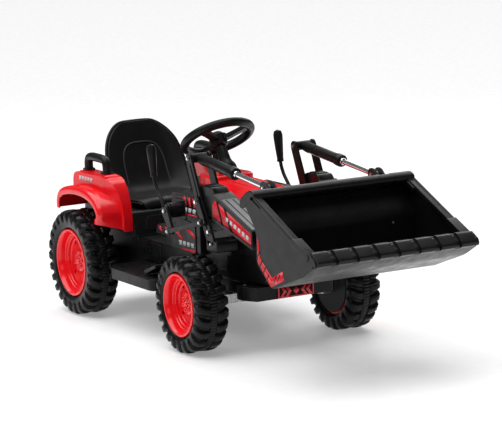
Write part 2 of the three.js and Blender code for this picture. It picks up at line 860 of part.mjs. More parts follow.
function liftLink(side) {
  const from = offset(LEVER_PIVOT, LEVER_CRANK);
  const to = offset(ARM_PIVOT, LEVER_CRANK);
  const ends = [from, to];
  const yA = side * (LINK_Y - 2.5);
  const yB = side * (LINK_Y + 3);
  const eyes = ends.map((place) => pin(place, yA, yB, 10, 16));
  const holes = ends.map((place) => pin(place, side * 190, side * 220, 5.5, 16));
  return cut(join(strap(from, to, 6, 6, yA, yB), ...eyes), ...holes);
}

function pedal() {
  const pad = [
    [394, 172, 3],
    [402, 169.5, 3],
    [466, 196, 4],
    [462, 206, 4],
    [392, 180, 3],
  ];
  return across(pad, -238, -178, 3);
}

// ---------------------------------------------------------------- assembly
add('chassis_tub', tub(), BLACK);
add('seat_base', seatBase(), BLACK);
add('seat', seat(), DARK);
add('dash_cowl', cowl(), BLACK);
add('nose', nose(), BLACK);
add('hood', hood(), RED);
add('bumper', bumper(), BLACK);
add('bumper_plate', bumperPlate(), RED);
add('front_axle_beam', frontBeam(), STEEL);
add('rear_axle', rearAxle(), STEEL);
add('steering_column', steeringColumn(), BLACK);
add('steering_wheel', steeringWheel(), BLACK);
add('horn_button', hornButton(), DARK);
add('tie_rod', tieRod(), STEEL);
add('arm_cross_tube', crossTube(), BLACK);
add('bucket', bucket(), BLACK);
add('cutting_edge', cuttingEdge(), DARK);
add('pedal', pedal(), DARK);
for (const side of [RIGHT, LEFT]) {
  const hand = sideName(side);
  add(`fender_${hand}`, fender(side), RED);
  add(`handle_${hand}`, handle(side), BLACK);
  add(`footrest_${hand}`, footrest(side), BLACK);
  add(`gearbox_${hand}`, gearbox(side), DARK);
  add(`knuckle_${hand}`, knuckle(side), STEEL);
  add(`tyre_rear_${hand}`, tyre(REAR, side), TYRE);
  add(`rim_rear_${hand}`, rim(REAR, side), RED);
  add(`tyre_front_${hand}`, tyre(FRONT, side), TYRE);
  add(`rim_front_${hand}`, rim(FRONT, side), RED);
  add(`mast_${hand}`, mast(side), BLACK);
  add(`arm_${hand}`, arm(side), BLACK);
  add(`arm_crank_${hand}`, armCrank(side), STEEL);
  add(`lever_bracket_${hand}`, leverBracket(side), BLACK);
  add(`lever_${hand}`, lever(side), BLACK);
  add(`lever_grip_${hand}`, leverGrip(side), DARK);
  add(`lift_link_${hand}`, liftLink(side), BLACK);
  add(`strut_barrel_${hand}`, strutBarrel(side), BLACK);
  add(`strut_stage_${hand}`, strutStage(side), CHROME);
  add(`strut_rod_${hand}`, strutRod(side), CHROME);
}

const bounds = new THREE.Box3().setFromObject(group);
const middle = bounds.getCenter(new THREE.Vector3());
group.position.set(-middle.x, -middle.y, -bounds.min.z);

export default group;
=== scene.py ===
# The look of the ride-on tractor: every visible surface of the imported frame, its materials,
# a pale studio floor, soft light and the camera.  Metres, in the frame of the CAD model.
import json
import math

import bmesh
import bpy
from mathutils import Matrix, Vector


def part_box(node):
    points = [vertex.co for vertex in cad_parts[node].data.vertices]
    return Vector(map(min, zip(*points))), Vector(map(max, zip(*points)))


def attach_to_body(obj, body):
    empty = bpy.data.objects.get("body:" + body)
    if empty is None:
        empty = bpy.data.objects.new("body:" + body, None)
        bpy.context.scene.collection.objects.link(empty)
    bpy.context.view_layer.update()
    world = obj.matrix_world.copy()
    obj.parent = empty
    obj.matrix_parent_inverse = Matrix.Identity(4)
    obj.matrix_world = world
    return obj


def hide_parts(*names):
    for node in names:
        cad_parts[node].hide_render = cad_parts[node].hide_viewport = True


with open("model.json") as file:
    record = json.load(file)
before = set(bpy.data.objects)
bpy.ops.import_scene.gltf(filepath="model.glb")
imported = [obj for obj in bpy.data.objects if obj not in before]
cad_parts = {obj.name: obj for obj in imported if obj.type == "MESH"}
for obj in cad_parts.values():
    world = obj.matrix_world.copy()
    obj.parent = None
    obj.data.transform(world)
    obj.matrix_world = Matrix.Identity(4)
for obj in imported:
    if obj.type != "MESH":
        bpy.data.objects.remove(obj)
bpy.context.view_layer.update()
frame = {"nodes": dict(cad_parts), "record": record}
MM = 0.001
SIDES = {"right": -1, "left": 1}
rear_low, rear_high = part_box("tyre_rear_right")
REAR_X = (rear_low.x + rear_high.x) / 2  # x of the rear axle


def place(x, y, z):
    """A point in millimetres from the rear axle (x), the middle (y) and the ground (z)."""
    return Vector((REAR_X + x * MM, y * MM, z * MM))


# ------------------------------------------------------------------ materials
DARK = 0.1  # colours below this are black plastics, which shine less
DARK_SPECULAR, PLAIN_SPECULAR = 0.17, 0.5


class Nodes:
    """A material's node tree, with short calls for the nodes that the finishes use."""

    def __init__(self, name, color, roughness, metallic=0.0):
        self.material = bpy.data.materials.new(name)
        self.material.use_nodes = True
        self.tree = self.material.node_tree
        self.shader = self.tree.nodes["Principled BSDF"]
        self.set(self.shader, "Base Color", (*color, 1.0))
        self.set(self.shader, "Roughness", roughness)
        self.set(self.shader, "Metallic", metallic)
        specular = DARK_SPECULAR if max(color) < DARK else PLAIN_SPECULAR
        self.set(self.shader, "Specular IOR Level", specular)
        self.coordinates = self.tree.nodes.new("ShaderNodeTexCoord")

    def set(self, node, socket, value):
        node.inputs[socket].default_value = value

    def link(self, node, output, target, socket):
        self.tree.links.new(node.outputs[output], target.inputs[socket])

    def noise(self, scale, detail=2.0):
        node = self.tree.nodes.new("ShaderNodeTexNoise")
        self.set(node, "Scale", scale)
        self.set(node, "Detail", detail)
        self.link(self.coordinates, "Object", node, "Vector")
        return node

    def ramp(self, source, output, stops):
        node = self.tree.nodes.new("ShaderNodeValToRGB")
        self.link(source, output, node, "Fac")
        elements = node.color_ramp.elements
        elements[0].position, elements[0].color = stops[0][0], (*stops[0][1], 1.0)
        elements[1].position, elements[1].color = stops[-1][0], (*stops[-1][1], 1.0)
        for position, color in stops[1:-1]:
            element = elements.new(position)
            element.color = (*color, 1.0)
        return node

    def bump(self, source, output, strength, distance):
        node = self.tree.nodes.new("ShaderNodeBump")
        self.set(node, "Strength", strength)
        self.set(node, "Distance", distance)
        self.link(source, output, node, "Height")
        self.link(node, "Normal", self.shader, "Normal")


def shade(color, factor):
    return tuple(channel * factor for channel in color)


def plastic(name, color, roughness, grain=900.0, depth=0.00012, spread=0.12, mottle=0.25):
    """Moulded plastic: a fine grain, patchy gloss and a slight change of shade."""
    made = Nodes(name, color, roughness)
    cloud = made.noise(7.0, 4.0)
    stops = [(0.3, shade(color, 1 - mottle)), (0.7, shade(color, 1 + mottle))]
    tint = made.ramp(cloud, "Fac", stops)
    made.link(tint, "Color", made.shader, "Base Color")
    rub = made.noise(34.0, 5.0)
    low, high = roughness - spread / 2, roughness + spread / 2
    gloss = made.ramp(rub, "Fac", [(0.35, (low,) * 3), (0.65, (high,) * 3)])
    made.link(gloss, "Color", made.shader, "Roughness")
    speck = made.noise(grain, 2.0)
    made.bump(speck, "Fac", 0.35, depth)
    return made.material


def metal(name, color, roughness):
    """Turned or drawn metal: fine streaks in gloss and a faint bump."""
    made = Nodes(name, color, roughness, 1.0)
    fine = made.noise(220.0, 3.0)
    low, high = roughness * 0.6, roughness * 1.5
    gloss = made.ramp(fine, "Fac", [(0.35, (low,) * 3), (0.65, (high,) * 3)])
    made.link(gloss, "Color", made.shader, "Roughness")
    made.bump(fine, "Fac", 0.1, 0.00005)
    return made.material


BLACK = plastic("black_body_plastic", (0.0055, 0.0055, 0.006), 0.32)
SEAT_BLACK = plastic("black_seat_plastic", (0.007, 0.007, 0.0075), 0.38, 1400.0, 0.0002)
LOADER_BLACK = plastic("black_loader_plastic", (0.006, 0.006, 0.0063), 0.33)
TRIM_BLACK = plastic("black_trim_plastic", (0.0055, 0.0055, 0.006), 0.36)
TYRE_BLACK = plastic("black_tyre_plastic", (0.0045, 0.0045, 0.005), 0.3, 700.0, 0.00015)
RED = plastic("glossy_red_plastic", (0.80, 0.005, 0.011), 0.2, 500.0, 0.00004, 0.08, 0.05)
DECAL_RED = plastic("red_decal_film", (0.62, 0.007, 0.020), 0.28, 900.0, 0.00003, 0.06, 0.08)
DECAL_GREY = plastic("pale_decal_film", (0.55, 0.55, 0.56), 0.3, 900.0, 0.00003, 0.06, 0.05)
# Near black: painted shade in drain holes, slots, screw holes and behind the grille, and the black print on
# the arm plates and the bumper badge.
SHADE_AND_PRINT_BLACK = plastic("painted_shade_and_print_black", (0.002, 0.002, 0.002), 0.7)
STEEL = metal("zinc_plated_steel", (0.42, 0.42, 0.43), 0.36)
BOLT = metal("dark_zinc", (0.16, 0.16, 0.165), 0.34)
# Lighter grey for the lumbar panel's bead and groove: painted highlight where light catches their edges.
PAINTED_HIGHLIGHT_EDGE = plastic("painted_highlight_edge", (0.050, 0.050, 0.052), 0.2)
# Pale grey for the arms' top faces: painted sheen, the top made lighter where light falls from above.
PAINTED_SHEEN_GREY = plastic("painted_sheen_grey", (0.150, 0.150, 0.155), 0.45)
CHROME = metal("chrome_plate", (0.86, 0.86, 0.88), 0.09)

FINISHES = {
    "body_plastic": BLACK,
    "seat_plastic": SEAT_BLACK,
    "trim_plastic": TRIM_BLACK,
    "loader_plastic": LOADER_BLACK,
    "tyre_plastic": TYRE_BLACK,
    "red_plastic": RED,
    "frame_steel": STEEL,
    "chrome": CHROME,
}


# ------------------------------------------------------------------ mesh helpers
def new_piece(name, verts, faces, material, smooth=True):
    mesh = bpy.data.meshes.new(name)
    mesh.from_pydata([tuple(v) for v in verts], [], faces)
    mesh.validate()
    bm = bmesh.new()
    bm.from_mesh(mesh)
    bmesh.ops.remove_doubles(bm, verts=bm.verts, dist=1e-6)
    bmesh.ops.recalc_face_normals(bm, faces=bm.faces)
    bm.to_mesh(mesh)
    bm.free()
    mesh.materials.append(material)
    obj = bpy.data.objects.new(name, mesh)
    bpy.context.scene.collection.objects.link(obj)
    mesh.shade_smooth() if smooth else mesh.shade_flat()
    return obj


def round_edges(obj, width, segments=2, angle=32.0):
    """Rounds the sharp edges by width millimetres and keeps the flats flat."""
    bevel = obj.modifiers.new("round_edges", "BEVEL")
    bevel.width = width * MM
    bevel.segments = segments
    bevel.limit_method = "ANGLE"
    bevel.angle_limit = math.radians(angle)
    bevel.harden_normals = True
    bevel.use_clamp_overlap = True
    return obj


def smooth_by_angle(obj, angle=35.0):
    obj.data.set_sharp_from_angle(angle=math.radians(angle))
    return obj


def attach(obj, body, slot, *nodes):
    """The piece rides on a body and may stand for CAD nodes, which it hides; the slot is not used."""
    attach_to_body(obj, body)
    if nodes:
        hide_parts(*nodes)
    return obj


def merge(name, parts):
    """Joins finished parts, with their modifiers applied, into one object."""
    graph = bpy.context.evaluated_depsgraph_get()
    joined = bmesh.new()
    materials = []
    for part in parts:
        graph.update()
        mesh = bpy.data.meshes.new_from_object(part.evaluated_get(graph), depsgraph=graph)
        mesh.transform(part.matrix_world)
        slots = []
        for material in mesh.materials:
            if material not in materials:
                materials.append(material)
            slots.append(materials.index(material))
        for polygon in mesh.polygons:
            polygon.material_index = slots[polygon.material_index]
        joined.from_mesh(mesh)
        bpy.data.meshes.remove(mesh)
    mesh = bpy.data.meshes.new(name)
    joined.to_mesh(mesh)
    joined.free()
    for material in materials:
        mesh.materials.append(material)
    for part in parts:
        bpy.data.objects.remove(part)
    obj = bpy.data.objects.new(name, mesh)
    bpy.context.scene.collection.objects.link(obj)
    return obj


def rounded(corners):
    """A closed outline with each corner rounded by its third value, in millimetres."""
    points, steps = [], 4
    count = len(corners)
    for i, corner in enumerate(corners):
        here = Vector(corner[:2])
        before = Vector(corners[i - 1][:2]) - here
        after = Vector(corners[(i + 1) % count][:2]) - here
        size = corner[2] if len(corner) > 2 else 0
        reach = min(size, before.length * 0.46, after.length * 0.46)
        if reach < 0.01:
            points.append(tuple(here))
            continue
        first = here + before.normalized() * reach
        last = here + after.normalized() * reach
        for k in range(steps + 1):
            t = k / steps
            bend = first * (1 - t) ** 2 + here * 2 * t * (1 - t) + last * t**2
            points.append(tuple(bend))
    return points


def rect(u0, u1, v0, v1, radius=0):
    """A rectangle's outline, with its corners rounded."""
    return [(u0, v0, radius), (u1, v0, radius), (u1, v1, radius), (u0, v1, radius)]


AXES = {
    "across": lambda u, v, w: place(u, w, v),
    "upward": lambda u, v, w: place(u, v, w),
    "along": lambda u, v, w: place(w, u, v),
}


def prism(name, corners, point, low, high, material, edge=1.5, segments=2):
    """An outline given a thickness; point turns (u, v, height) into a place."""
    outline = rounded(corners)
    low, high = min(low, high), max(low, high)
    count = len(outline)
    verts = [point(u, v, low) for u, v in outline] + [point(u, v, high) for u, v in outline]
    faces = [list(range(count)), list(range(2 * count - 1, count - 1, -1))]
    for i in range(count):
        j = (i + 1) % count
        faces.append([i, j, count + j, count + i])
    obj = new_piece(name, verts, faces, material)
    if edge:
        round_edges(obj, edge, segments)
    return obj


def slab(name, corners, direction, low, high, material, edge=1.5, segments=2):
    """An outline extruded between two planes, with its edges rounded."""
    return prism(name, corners, AXES[direction], low, high, material, edge, segments)


def revolve(name, profile, center, axis, material, segments=64, edge=0.0):
    """Turns (radius, distance along axis) points, in millimetres, about an axis."""
    axis = Vector(axis).normalized()
    turn = axis.to_track_quat("Z", "Y").to_matrix()
    verts = []
    for k in range(segments):
        angle = 2 * math.pi * k / segments
        for r, along in profile:
            local = Vector((r * math.cos(angle), r * math.sin(angle), along)) * MM
            verts.append(center + turn @ local)
    obj = new_piece(name, verts, ring_faces(segments, len(profile)), material)
    if edge:
        round_edges(obj, edge)
    return obj


def rod(name, start, end, radius, material, segments=24, edge=1.0):
    """A round bar between two points, with rounded ends."""
    length = (end - start).length / MM
    profile = [(0.001, 0), (radius, 0), (radius, length), (0.001, length)]
    return revolve(name, profile, start, end - start, material, segments, edge)


def spline(points, steps):
    """A smooth line through the points, with the same number of steps between each two."""
    path, last = [], len(points) - 1
    for i in range(last):
        p0, p1 = points[max(i - 1, 0)], points[i]
        p2, p3 = points[i + 1], points[min(i + 2, last)]
        for k in range(steps + (i == last - 1)):
            t = k / steps
            bend = p1 * 2 + (p2 - p0) * t + (p0 * 2 - p1 * 5 + p2 * 4 - p3) * t**2
            path.append((bend + (p1 * 3 - p0 - p2 * 3 + p3) * t**3) * 0.5)
    return path


def tube_faces(count, sides):
    """The sides and the two ends of a tube made of count rings."""
    faces = []
    for i in range(count - 1):
        for k in range(sides):
            j = (k + 1) % sides
            faces.append([i * sides + k, i * sides + j, (i + 1) * sides + j, (i + 1) * sides + k])
    faces.append(list(range(sides)))
    faces.append([(count - 1) * sides + k for k in range(sides)])
    return faces


def ring_faces(around, count):
    """The sides of a body turned about an axis, from sections of count points."""
    faces = []
    for k in range(around):
        following = (k + 1) % around
        for i in range(count):
            j = (i + 1) % count
            faces.append([k * count + i, following * count + i, following * count + j, k * count + j])
    return faces


def sweep(name, points, radius, material, steps=8, sides=16):
    """A round tube along a smooth line through the points."""
    path = spline(points, steps)
    verts = []
    side = Vector((0, 1, 0))
    for i, here in enumerate(path):
        ahead = (path[min(i + 1, len(path) - 1)] - path[max(i - 1, 0)]).normalized()
        side = (side - ahead * side.dot(ahead)).normalized()
        other = ahead.cross(side)
        for k in range(sides):
            angle = 2 * math.pi * k / sides
            verts.append(here + (side * math.cos(angle) + other * math.sin(angle)) * radius * MM)
    return smooth_by_angle(new_piece(name, verts, tube_faces(len(path), sides), material), 50)


def grid_shell(name, rows, material, thickness, levels=2):
    """A sheet through rows of points, given a thickness in millimetres and smoothed."""
    width = len(rows[0])
    verts = [point for row in rows for point in row]
    faces = []
    for i in range(len(rows) - 1):
        for j in range(width - 1):
            a = i * width + j
            faces.append([a, a + 1, a + width + 1, a + width])
    obj = new_piece(name, verts, faces, material)
    skin = obj.modifiers.new("thickness", "SOLIDIFY")
    skin.thickness = thickness * MM
    skin.offset = -1.0
    skin.use_even_offset = True
    if levels:
        soften = obj.modifiers.new("soften", "SUBSURF")
        soften.levels = soften.render_levels = levels
    return obj


def ease(low, high, value):
    """0 below low, 1 above high, smooth between."""
    t = min(max((value - low) / (high - low), 0.0), 1.0)
    return t * t * (3 - 2 * t)


def bolt(name, center, outward, radius, material, height=4.0):
    """A hexagon head on a round washer."""
    outward = Vector(outward).normalized()
    washer = revolve(name + "_washer", [(0.001, 0), (radius * 1.45, 0), (radius * 1.45, 1.2), (0.001, 1.2)],
                     center, outward, BOLT, 28, 0.3)
    head = revolve(name + "_head", [(0.001, 1.2), (radius, 1.2), (radius, height), (0.001, height)],
                   center, outward, material, 6, 0.6)
    return merge(name, [washer, head])


class Parts(list):
    """The parts of one piece, in one material unless told otherwise, on one side of the vehicle."""

    def __init__(self, material, side=1):
        super().__init__()
        self.material, self.side = material, side

    def across(self, name, corners, low, high, edge=1.5, segments=2, material=None):
        """An outline seen from the side, between two distances from the middle."""
        low, high = self.side * low, self.side * high
        self.append(slab(name, corners, "across", low, high, material or self.material, edge, segments))

    def upward(self, name, corners, low, high, edge=1.5, segments=2, material=None):
        """An outline seen from above, between two heights."""
        corners = [(x, self.side * y, *radius) for x, y, *radius in corners]
        self.append(slab(name, corners, "upward", low, high, material or self.material, edge, segments))

    def along(self, name, corners, low, high, edge=1.5, segments=2, material=None):
        """An outline seen from the front, between two distances from the rear axle."""
        self.append(slab(name, corners, "along", low, high, material or self.material, edge, segments))

    def decal(self, name, corners, low, high, material):
        self.across(name, corners, low, high, 0, 2, material)

    def pair(self, *shape, **options):
        """The same outline on both sides."""
        kept = self.side
        for self.side in SIDES.values():
            self.across(*shape, **options)
        self.side = kept

    def strap(self, name, start, end, half, end_half, low, high, edge=1.6):
        low, high = self.side * low, self.side * high
        self.append(strap(name, start, end, half, end_half, low, high, self.material, edge))

    def bolt(self, name, x, y, z, radius, material, height=4.0):
        self.append(bolt(name, place(x, self.side * y, z), (0, self.side, 0), radius, material, height))

    def pin(self, name, x, z, low, high, *style):
        """A rod across the vehicle at (x, z), between two distances from the middle."""
        self.append(rod(name, place(x, self.side * low, z), place(x, self.side * high, z), *style))


# ------------------------------------------------------------------ camera, light and floor
def camera():
    target = place(578, 0, 329)
    azimuth, elevation = math.radians(61.378), math.radians(9.54)
    back = Vector((
        math.sin(azimuth) * math.cos(elevation),
        -math.cos(azimuth) * math.cos(elevation),
        math.sin(elevation),
    ))
    right = Vector((math.cos(azimuth), math.sin(azimuth), 0))
    up = back.cross(right)
    distance, roll = 7.128, math.radians(-2.285)
    turned_right = right * math.cos(roll) + up * math.sin(roll)
    turned_up = up * math.cos(roll) - right * math.sin(roll)
    data = bpy.data.cameras.new("camera")
    data.sensor_width = 36.0
    data.lens = 190.0
    data.clip_end = 100.0
    obj = bpy.data.objects.new("camera", data)
    bpy.context.scene.collection.objects.link(obj)
    facing = Matrix((turned_right, turned_up, back)).transposed()
    obj.matrix_world = Matrix.Translation(target + back * distance) @ facing.to_4x4()
    bpy.context.scene.camera = obj


def area_light(name, location, target, size, power):
    data = bpy.data.lights.new(name, "AREA")
    data.shape = "RECTANGLE"
    data.size, data.size_y = size
    data.energy = power
    obj = bpy.data.objects.new(name, data)
    bpy.context.scene.collection.objects.link(obj)
    obj.location = location
    obj.rotation_mode = "QUATERNION"
    obj.rotation_quaternion = (Vector(target) - Vector(location)).to_track_quat("-Z", "Y")


def studio():
    """A white backdrop seen by the camera, a dim room for the sides and large lights overhead."""
    scene = bpy.context.scene
    scene.view_settings.view_transform = "Standard"
    world = bpy.data.worlds.new("studio")
    scene.world = world
    world.use_nodes = True
    tree = world.node_tree
    room = tree.nodes["Background"]
    room.inputs["Color"].default_value = (1.0, 1.0, 1.0, 1.0)
    room.inputs["Strength"].default_value = 0.14
    backdrop = tree.nodes.new("ShaderNodeBackground")
    backdrop.inputs["Color"].default_value = (1.0, 1.0, 1.0, 1.0)
    backdrop.inputs["Strength"].default_value = 1.05
    path = tree.nodes.new("ShaderNodeLightPath")
    mix = tree.nodes.new("ShaderNodeMixShader")
    tree.links.new(path.outputs["Is Camera Ray"], mix.inputs[0])
    tree.links.new(room.outputs["Background"], mix.inputs[1])
    tree.links.new(backdrop.outputs["Background"], mix.inputs[2])
    tree.links.new(mix.outputs["Shader"], tree.nodes["World Output"].inputs["Surface"])
    overhead = bpy.data.lights.new("overhead", "SUN")
    overhead.energy = 3.5
    overhead.angle = math.radians(75)
    sun = bpy.data.objects.new("overhead", overhead)
    bpy.context.scene.collection.objects.link(sun)
    sun.rotation_euler = (math.radians(9), math.radians(-9), 0)
    area_light("back_softbox", (-2.2, 2.6, 2.6), (0.1, 0, 0.3), (2.6, 1.6), 40)
    area_light("key_softbox", (-0.6, -3.4, 2.8), (0.1, 0, 0.3), (2.4, 0.8), 16)
    area_light("front_softbox", (3.6, -1.2, 2.2), (0.3, 0, 0.3), (1.6, 1.2), 8)
    floor_finish = plastic("pale_floor", (0.9, 0.9, 0.9), 0.22, 60.0, 0.00002, 0.04, 0.01)
    for node in floor_finish.node_tree.nodes:
        if node.bl_idname == "ShaderNodeBsdfPrincipled":
            node.inputs["Emission Color"].default_value = (1.0, 1.0, 1.0, 1.0)
            node.inputs["Emission Strength"].default_value = 0.26
    reach = 30000  # half the floor's side, in millimetres
    corners = [(-reach, -reach), (reach, -reach), (reach, reach), (-reach, reach)]
    verts = [place(x, y, 0) for x, y in corners]
    floor = new_piece("floor", verts, [[0, 1, 2, 3]], floor_finish, False)


# ------------------------------------------------------------------ wheels
def tyre(node, body, lugs):
    """A hard tyre: block lugs wrapped over both shoulders and a finely ribbed middle band."""
    low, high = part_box(node)
    center = (low + high) / 2
    radius = (high.z - low.z) / 2 / MM
    half = (high.y - low.y) / 2 / MM
    rim_low, rim_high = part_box(node.replace("tyre", "rim"))
    bead = (rim_high.z - rim_low.z) / 2 / MM + 0.4
    side = 1 if center.y > 0 else -1
    # Half sections from the bead to the middle, as (radius, inset from the sidewall): the
    # carcass between two lugs, and the top of a lug.
    carcass = [
        (bead, 14), (bead + 3, 8), (bead + 8, 4.5), (bead + 18, 3.5), (radius - 34, 3.5), (radius - 27, 4.5),
        (radius - 20, 7), (radius - 15, 11), (radius - 12, 16), (radius - 11, 22), (radius - 10.5, 29),
        (radius - 10, half - 12), (radius - 8, half - 9.5), (radius - 3.5, half - 8.5), (radius - 3, half),
    ]
    raised = [
        (bead, 14), (bead + 3, 8), (bead + 8, 4.5), (bead + 18, 3.5), (radius - 34, 3), (radius - 28, 0.6),
        (radius - 19, 0), (radius - 9, 3), (radius - 3, 8.5), (radius - 0.5, 16), (radius, 27),
        (radius - 0.5, half - 14), (radius - 4.5, half - 10.5), (radius - 3.5, half - 8.5),
        (radius - 3, half),
    ]
    count = 2 * len(carcass) - 1
    per_lug = 16
    around = lugs * per_lug
    verts = []
    for k in range(around):
        angle = 2 * math.pi * k / around
        for i in range(count):
            row = min(i, count - 1 - i)
            across = -1 if i < len(carcass) else 1
            reach = 1 - carcass[row][1] / half
            step = (k / per_lug + 0.5 * reach * reach + (0.5 if across > 0 else 0.0)) % 1.0
            block = ease(0.0, 0.16, step) * (1 - ease(0.60, 0.78, step))
            r = carcass[row][0] * (1 - block) + raised[row][0] * block
            inset = carcass[row][1] * (1 - block) + raised[row][1] * block
            if row >= len(carcass) - 2:
                r += 0.9 if k % 4 < 2 else -0.6
            local = Vector((r * math.sin(angle), side * across * (half - inset), r * math.cos(angle)))
            verts.append(center + local * MM)
    obj = smooth_by_angle(new_piece(node + "_tread", verts, ring_faces(around, count), TYRE_BLACK), 42)
    attach(obj, body, "tyre_plastic", node)


def rim(node, body):
    """A deep dished wheel with a stepped floor, a lobed hub, drain slots drawn as discs of painted shade and
    a black inner cover.
    """
    low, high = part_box(node)
    center = (low + high) / 2
    side = 1 if center.y > 0 else -1
    tyre_low, tyre_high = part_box(node.replace("rim", "tyre"))
    middle = Vector((center.x, (tyre_low.y + tyre_high.y) / 2, center.z))
    half = (tyre_high.y - tyre_low.y) / 2 / MM
    edge = (high.z - low.z) / 2 / MM
    outward = Vector((0, side, 0))
    profile = [
        (edge, 14 - half), (edge, half - 9), (edge - 0.5, half - 6.5), (edge - 3, half - 5.5),
        (edge - 6, half - 6), (edge - 8.5, half - 9), (edge - 11, half - 17), (edge - 13, half - 27),
        (edge - 15, half - 29), (edge - 22, half - 30), (edge - 24, half - 32), (edge - 26, half - 39),
        (edge - 29, half - 41.5), (38, half - 42), (34, half - 41), (31, half - 36), (29.5, half - 34),
        (26, half - 33), (0.001, half - 33), (0.001, half - 36), (22, half - 37), (24, half - 45),
        (edge - 30, half - 46), (edge - 18, half - 36), (edge - 8, half - 32), (edge - 6, 14 - half),
    ]
    parts = [revolve(node + "_dish", profile, middle, outward, RED, 72)]
    smooth_by_angle(parts[0], 28)
    for k in range(6):
        angle = math.radians(60 * k + 15)
        spoke = Vector((math.cos(angle), 0, math.sin(angle)))
        lobe = middle + (spoke * 17 + outward * (half - 34)) * MM
        ring = [(3.2, 0), (7.0, 0), (7.0, 3.2), (6.0, 4.4), (4.2, 4.4), (3.2, 3.2)]
        parts.append(revolve(f"{node}_lobe_{k}", ring, lobe, outward, RED, 20, 0.5))
    cap = [(0.001, 0), (8.5, 0), (8.5, 4), (6, 7), (0.001, 8)]
    parts.append(revolve(node + "_cap", cap, middle + outward * (half - 34) * MM, outward, RED, 28, 0.8))
    # Drain slots: thin near-black discs on the dish, painted shade of the holes.
    for k in range(4):
        angle = math.radians(90 * k + 38)
        spoke = Vector((math.cos(angle), 0, math.sin(angle)))
        spot = middle + (spoke * (edge - 35) + outward * (half - 42)) * MM
        slot = [(0.001, 0), (4.2, 0), (4.2, 0.6), (0.001, 0.6)]
        parts.append(revolve(f"{node}_drain_{k}", slot, spot, outward, SHADE_AND_PRINT_BLACK, 16))
    for k in range(3):
        angle = math.radians(120 * k + 75)
        spoke = Vector((math.cos(angle), 0, math.sin(angle)))
        across = Vector((-math.sin(angle), 0, math.cos(angle)))
        base = middle + outward * (half - 42) * MM
        rib = []
        for reach, rise in ((40, 0), (edge - 27, 0), (edge - 27, 5), (40, 3)):
            for wide in (-2.2, 2.2):
                rib.append(base + (spoke * reach + across * wide + outward * rise) * MM)
        quads = [[0, 2, 4, 6], [1, 3, 5, 7], [0, 1, 3, 2], [2, 3, 5, 4], [4, 5, 7, 6], [6, 7, 1, 0]]
        parts.append(round_edges(new_piece(f"{node}_rib_{k}", rib, quads, RED), 0.8))
    cover = [(12, 9 - half), (edge - 4, 9 - half), (edge - 4, 13 - half), (12, 13 - half)]
    parts.append(revolve(node + "_cover", cover, middle, outward, BLACK, 48, 1.0))
    attach(merge(node + "_wheel", parts), body, "red_plastic", node)


def wheels():
    for hand in SIDES:
        tyre(f"tyre_rear_{hand}", f"wheel_rear_{hand}", 26)
        rim(f"rim_rear_{hand}", f"wheel_rear_{hand}")
        tyre(f"tyre_front_{hand}", f"wheel_front_{hand}", 23)
        rim(f"rim_front_{hand}", f"wheel_front_{hand}")


# ------------------------------------------------------------------ bucket
STRUT_Y = 160  # middle plane of each arm and strut
STRUT_EYE = (964, 466)  # where a strut's rod meets the bucket


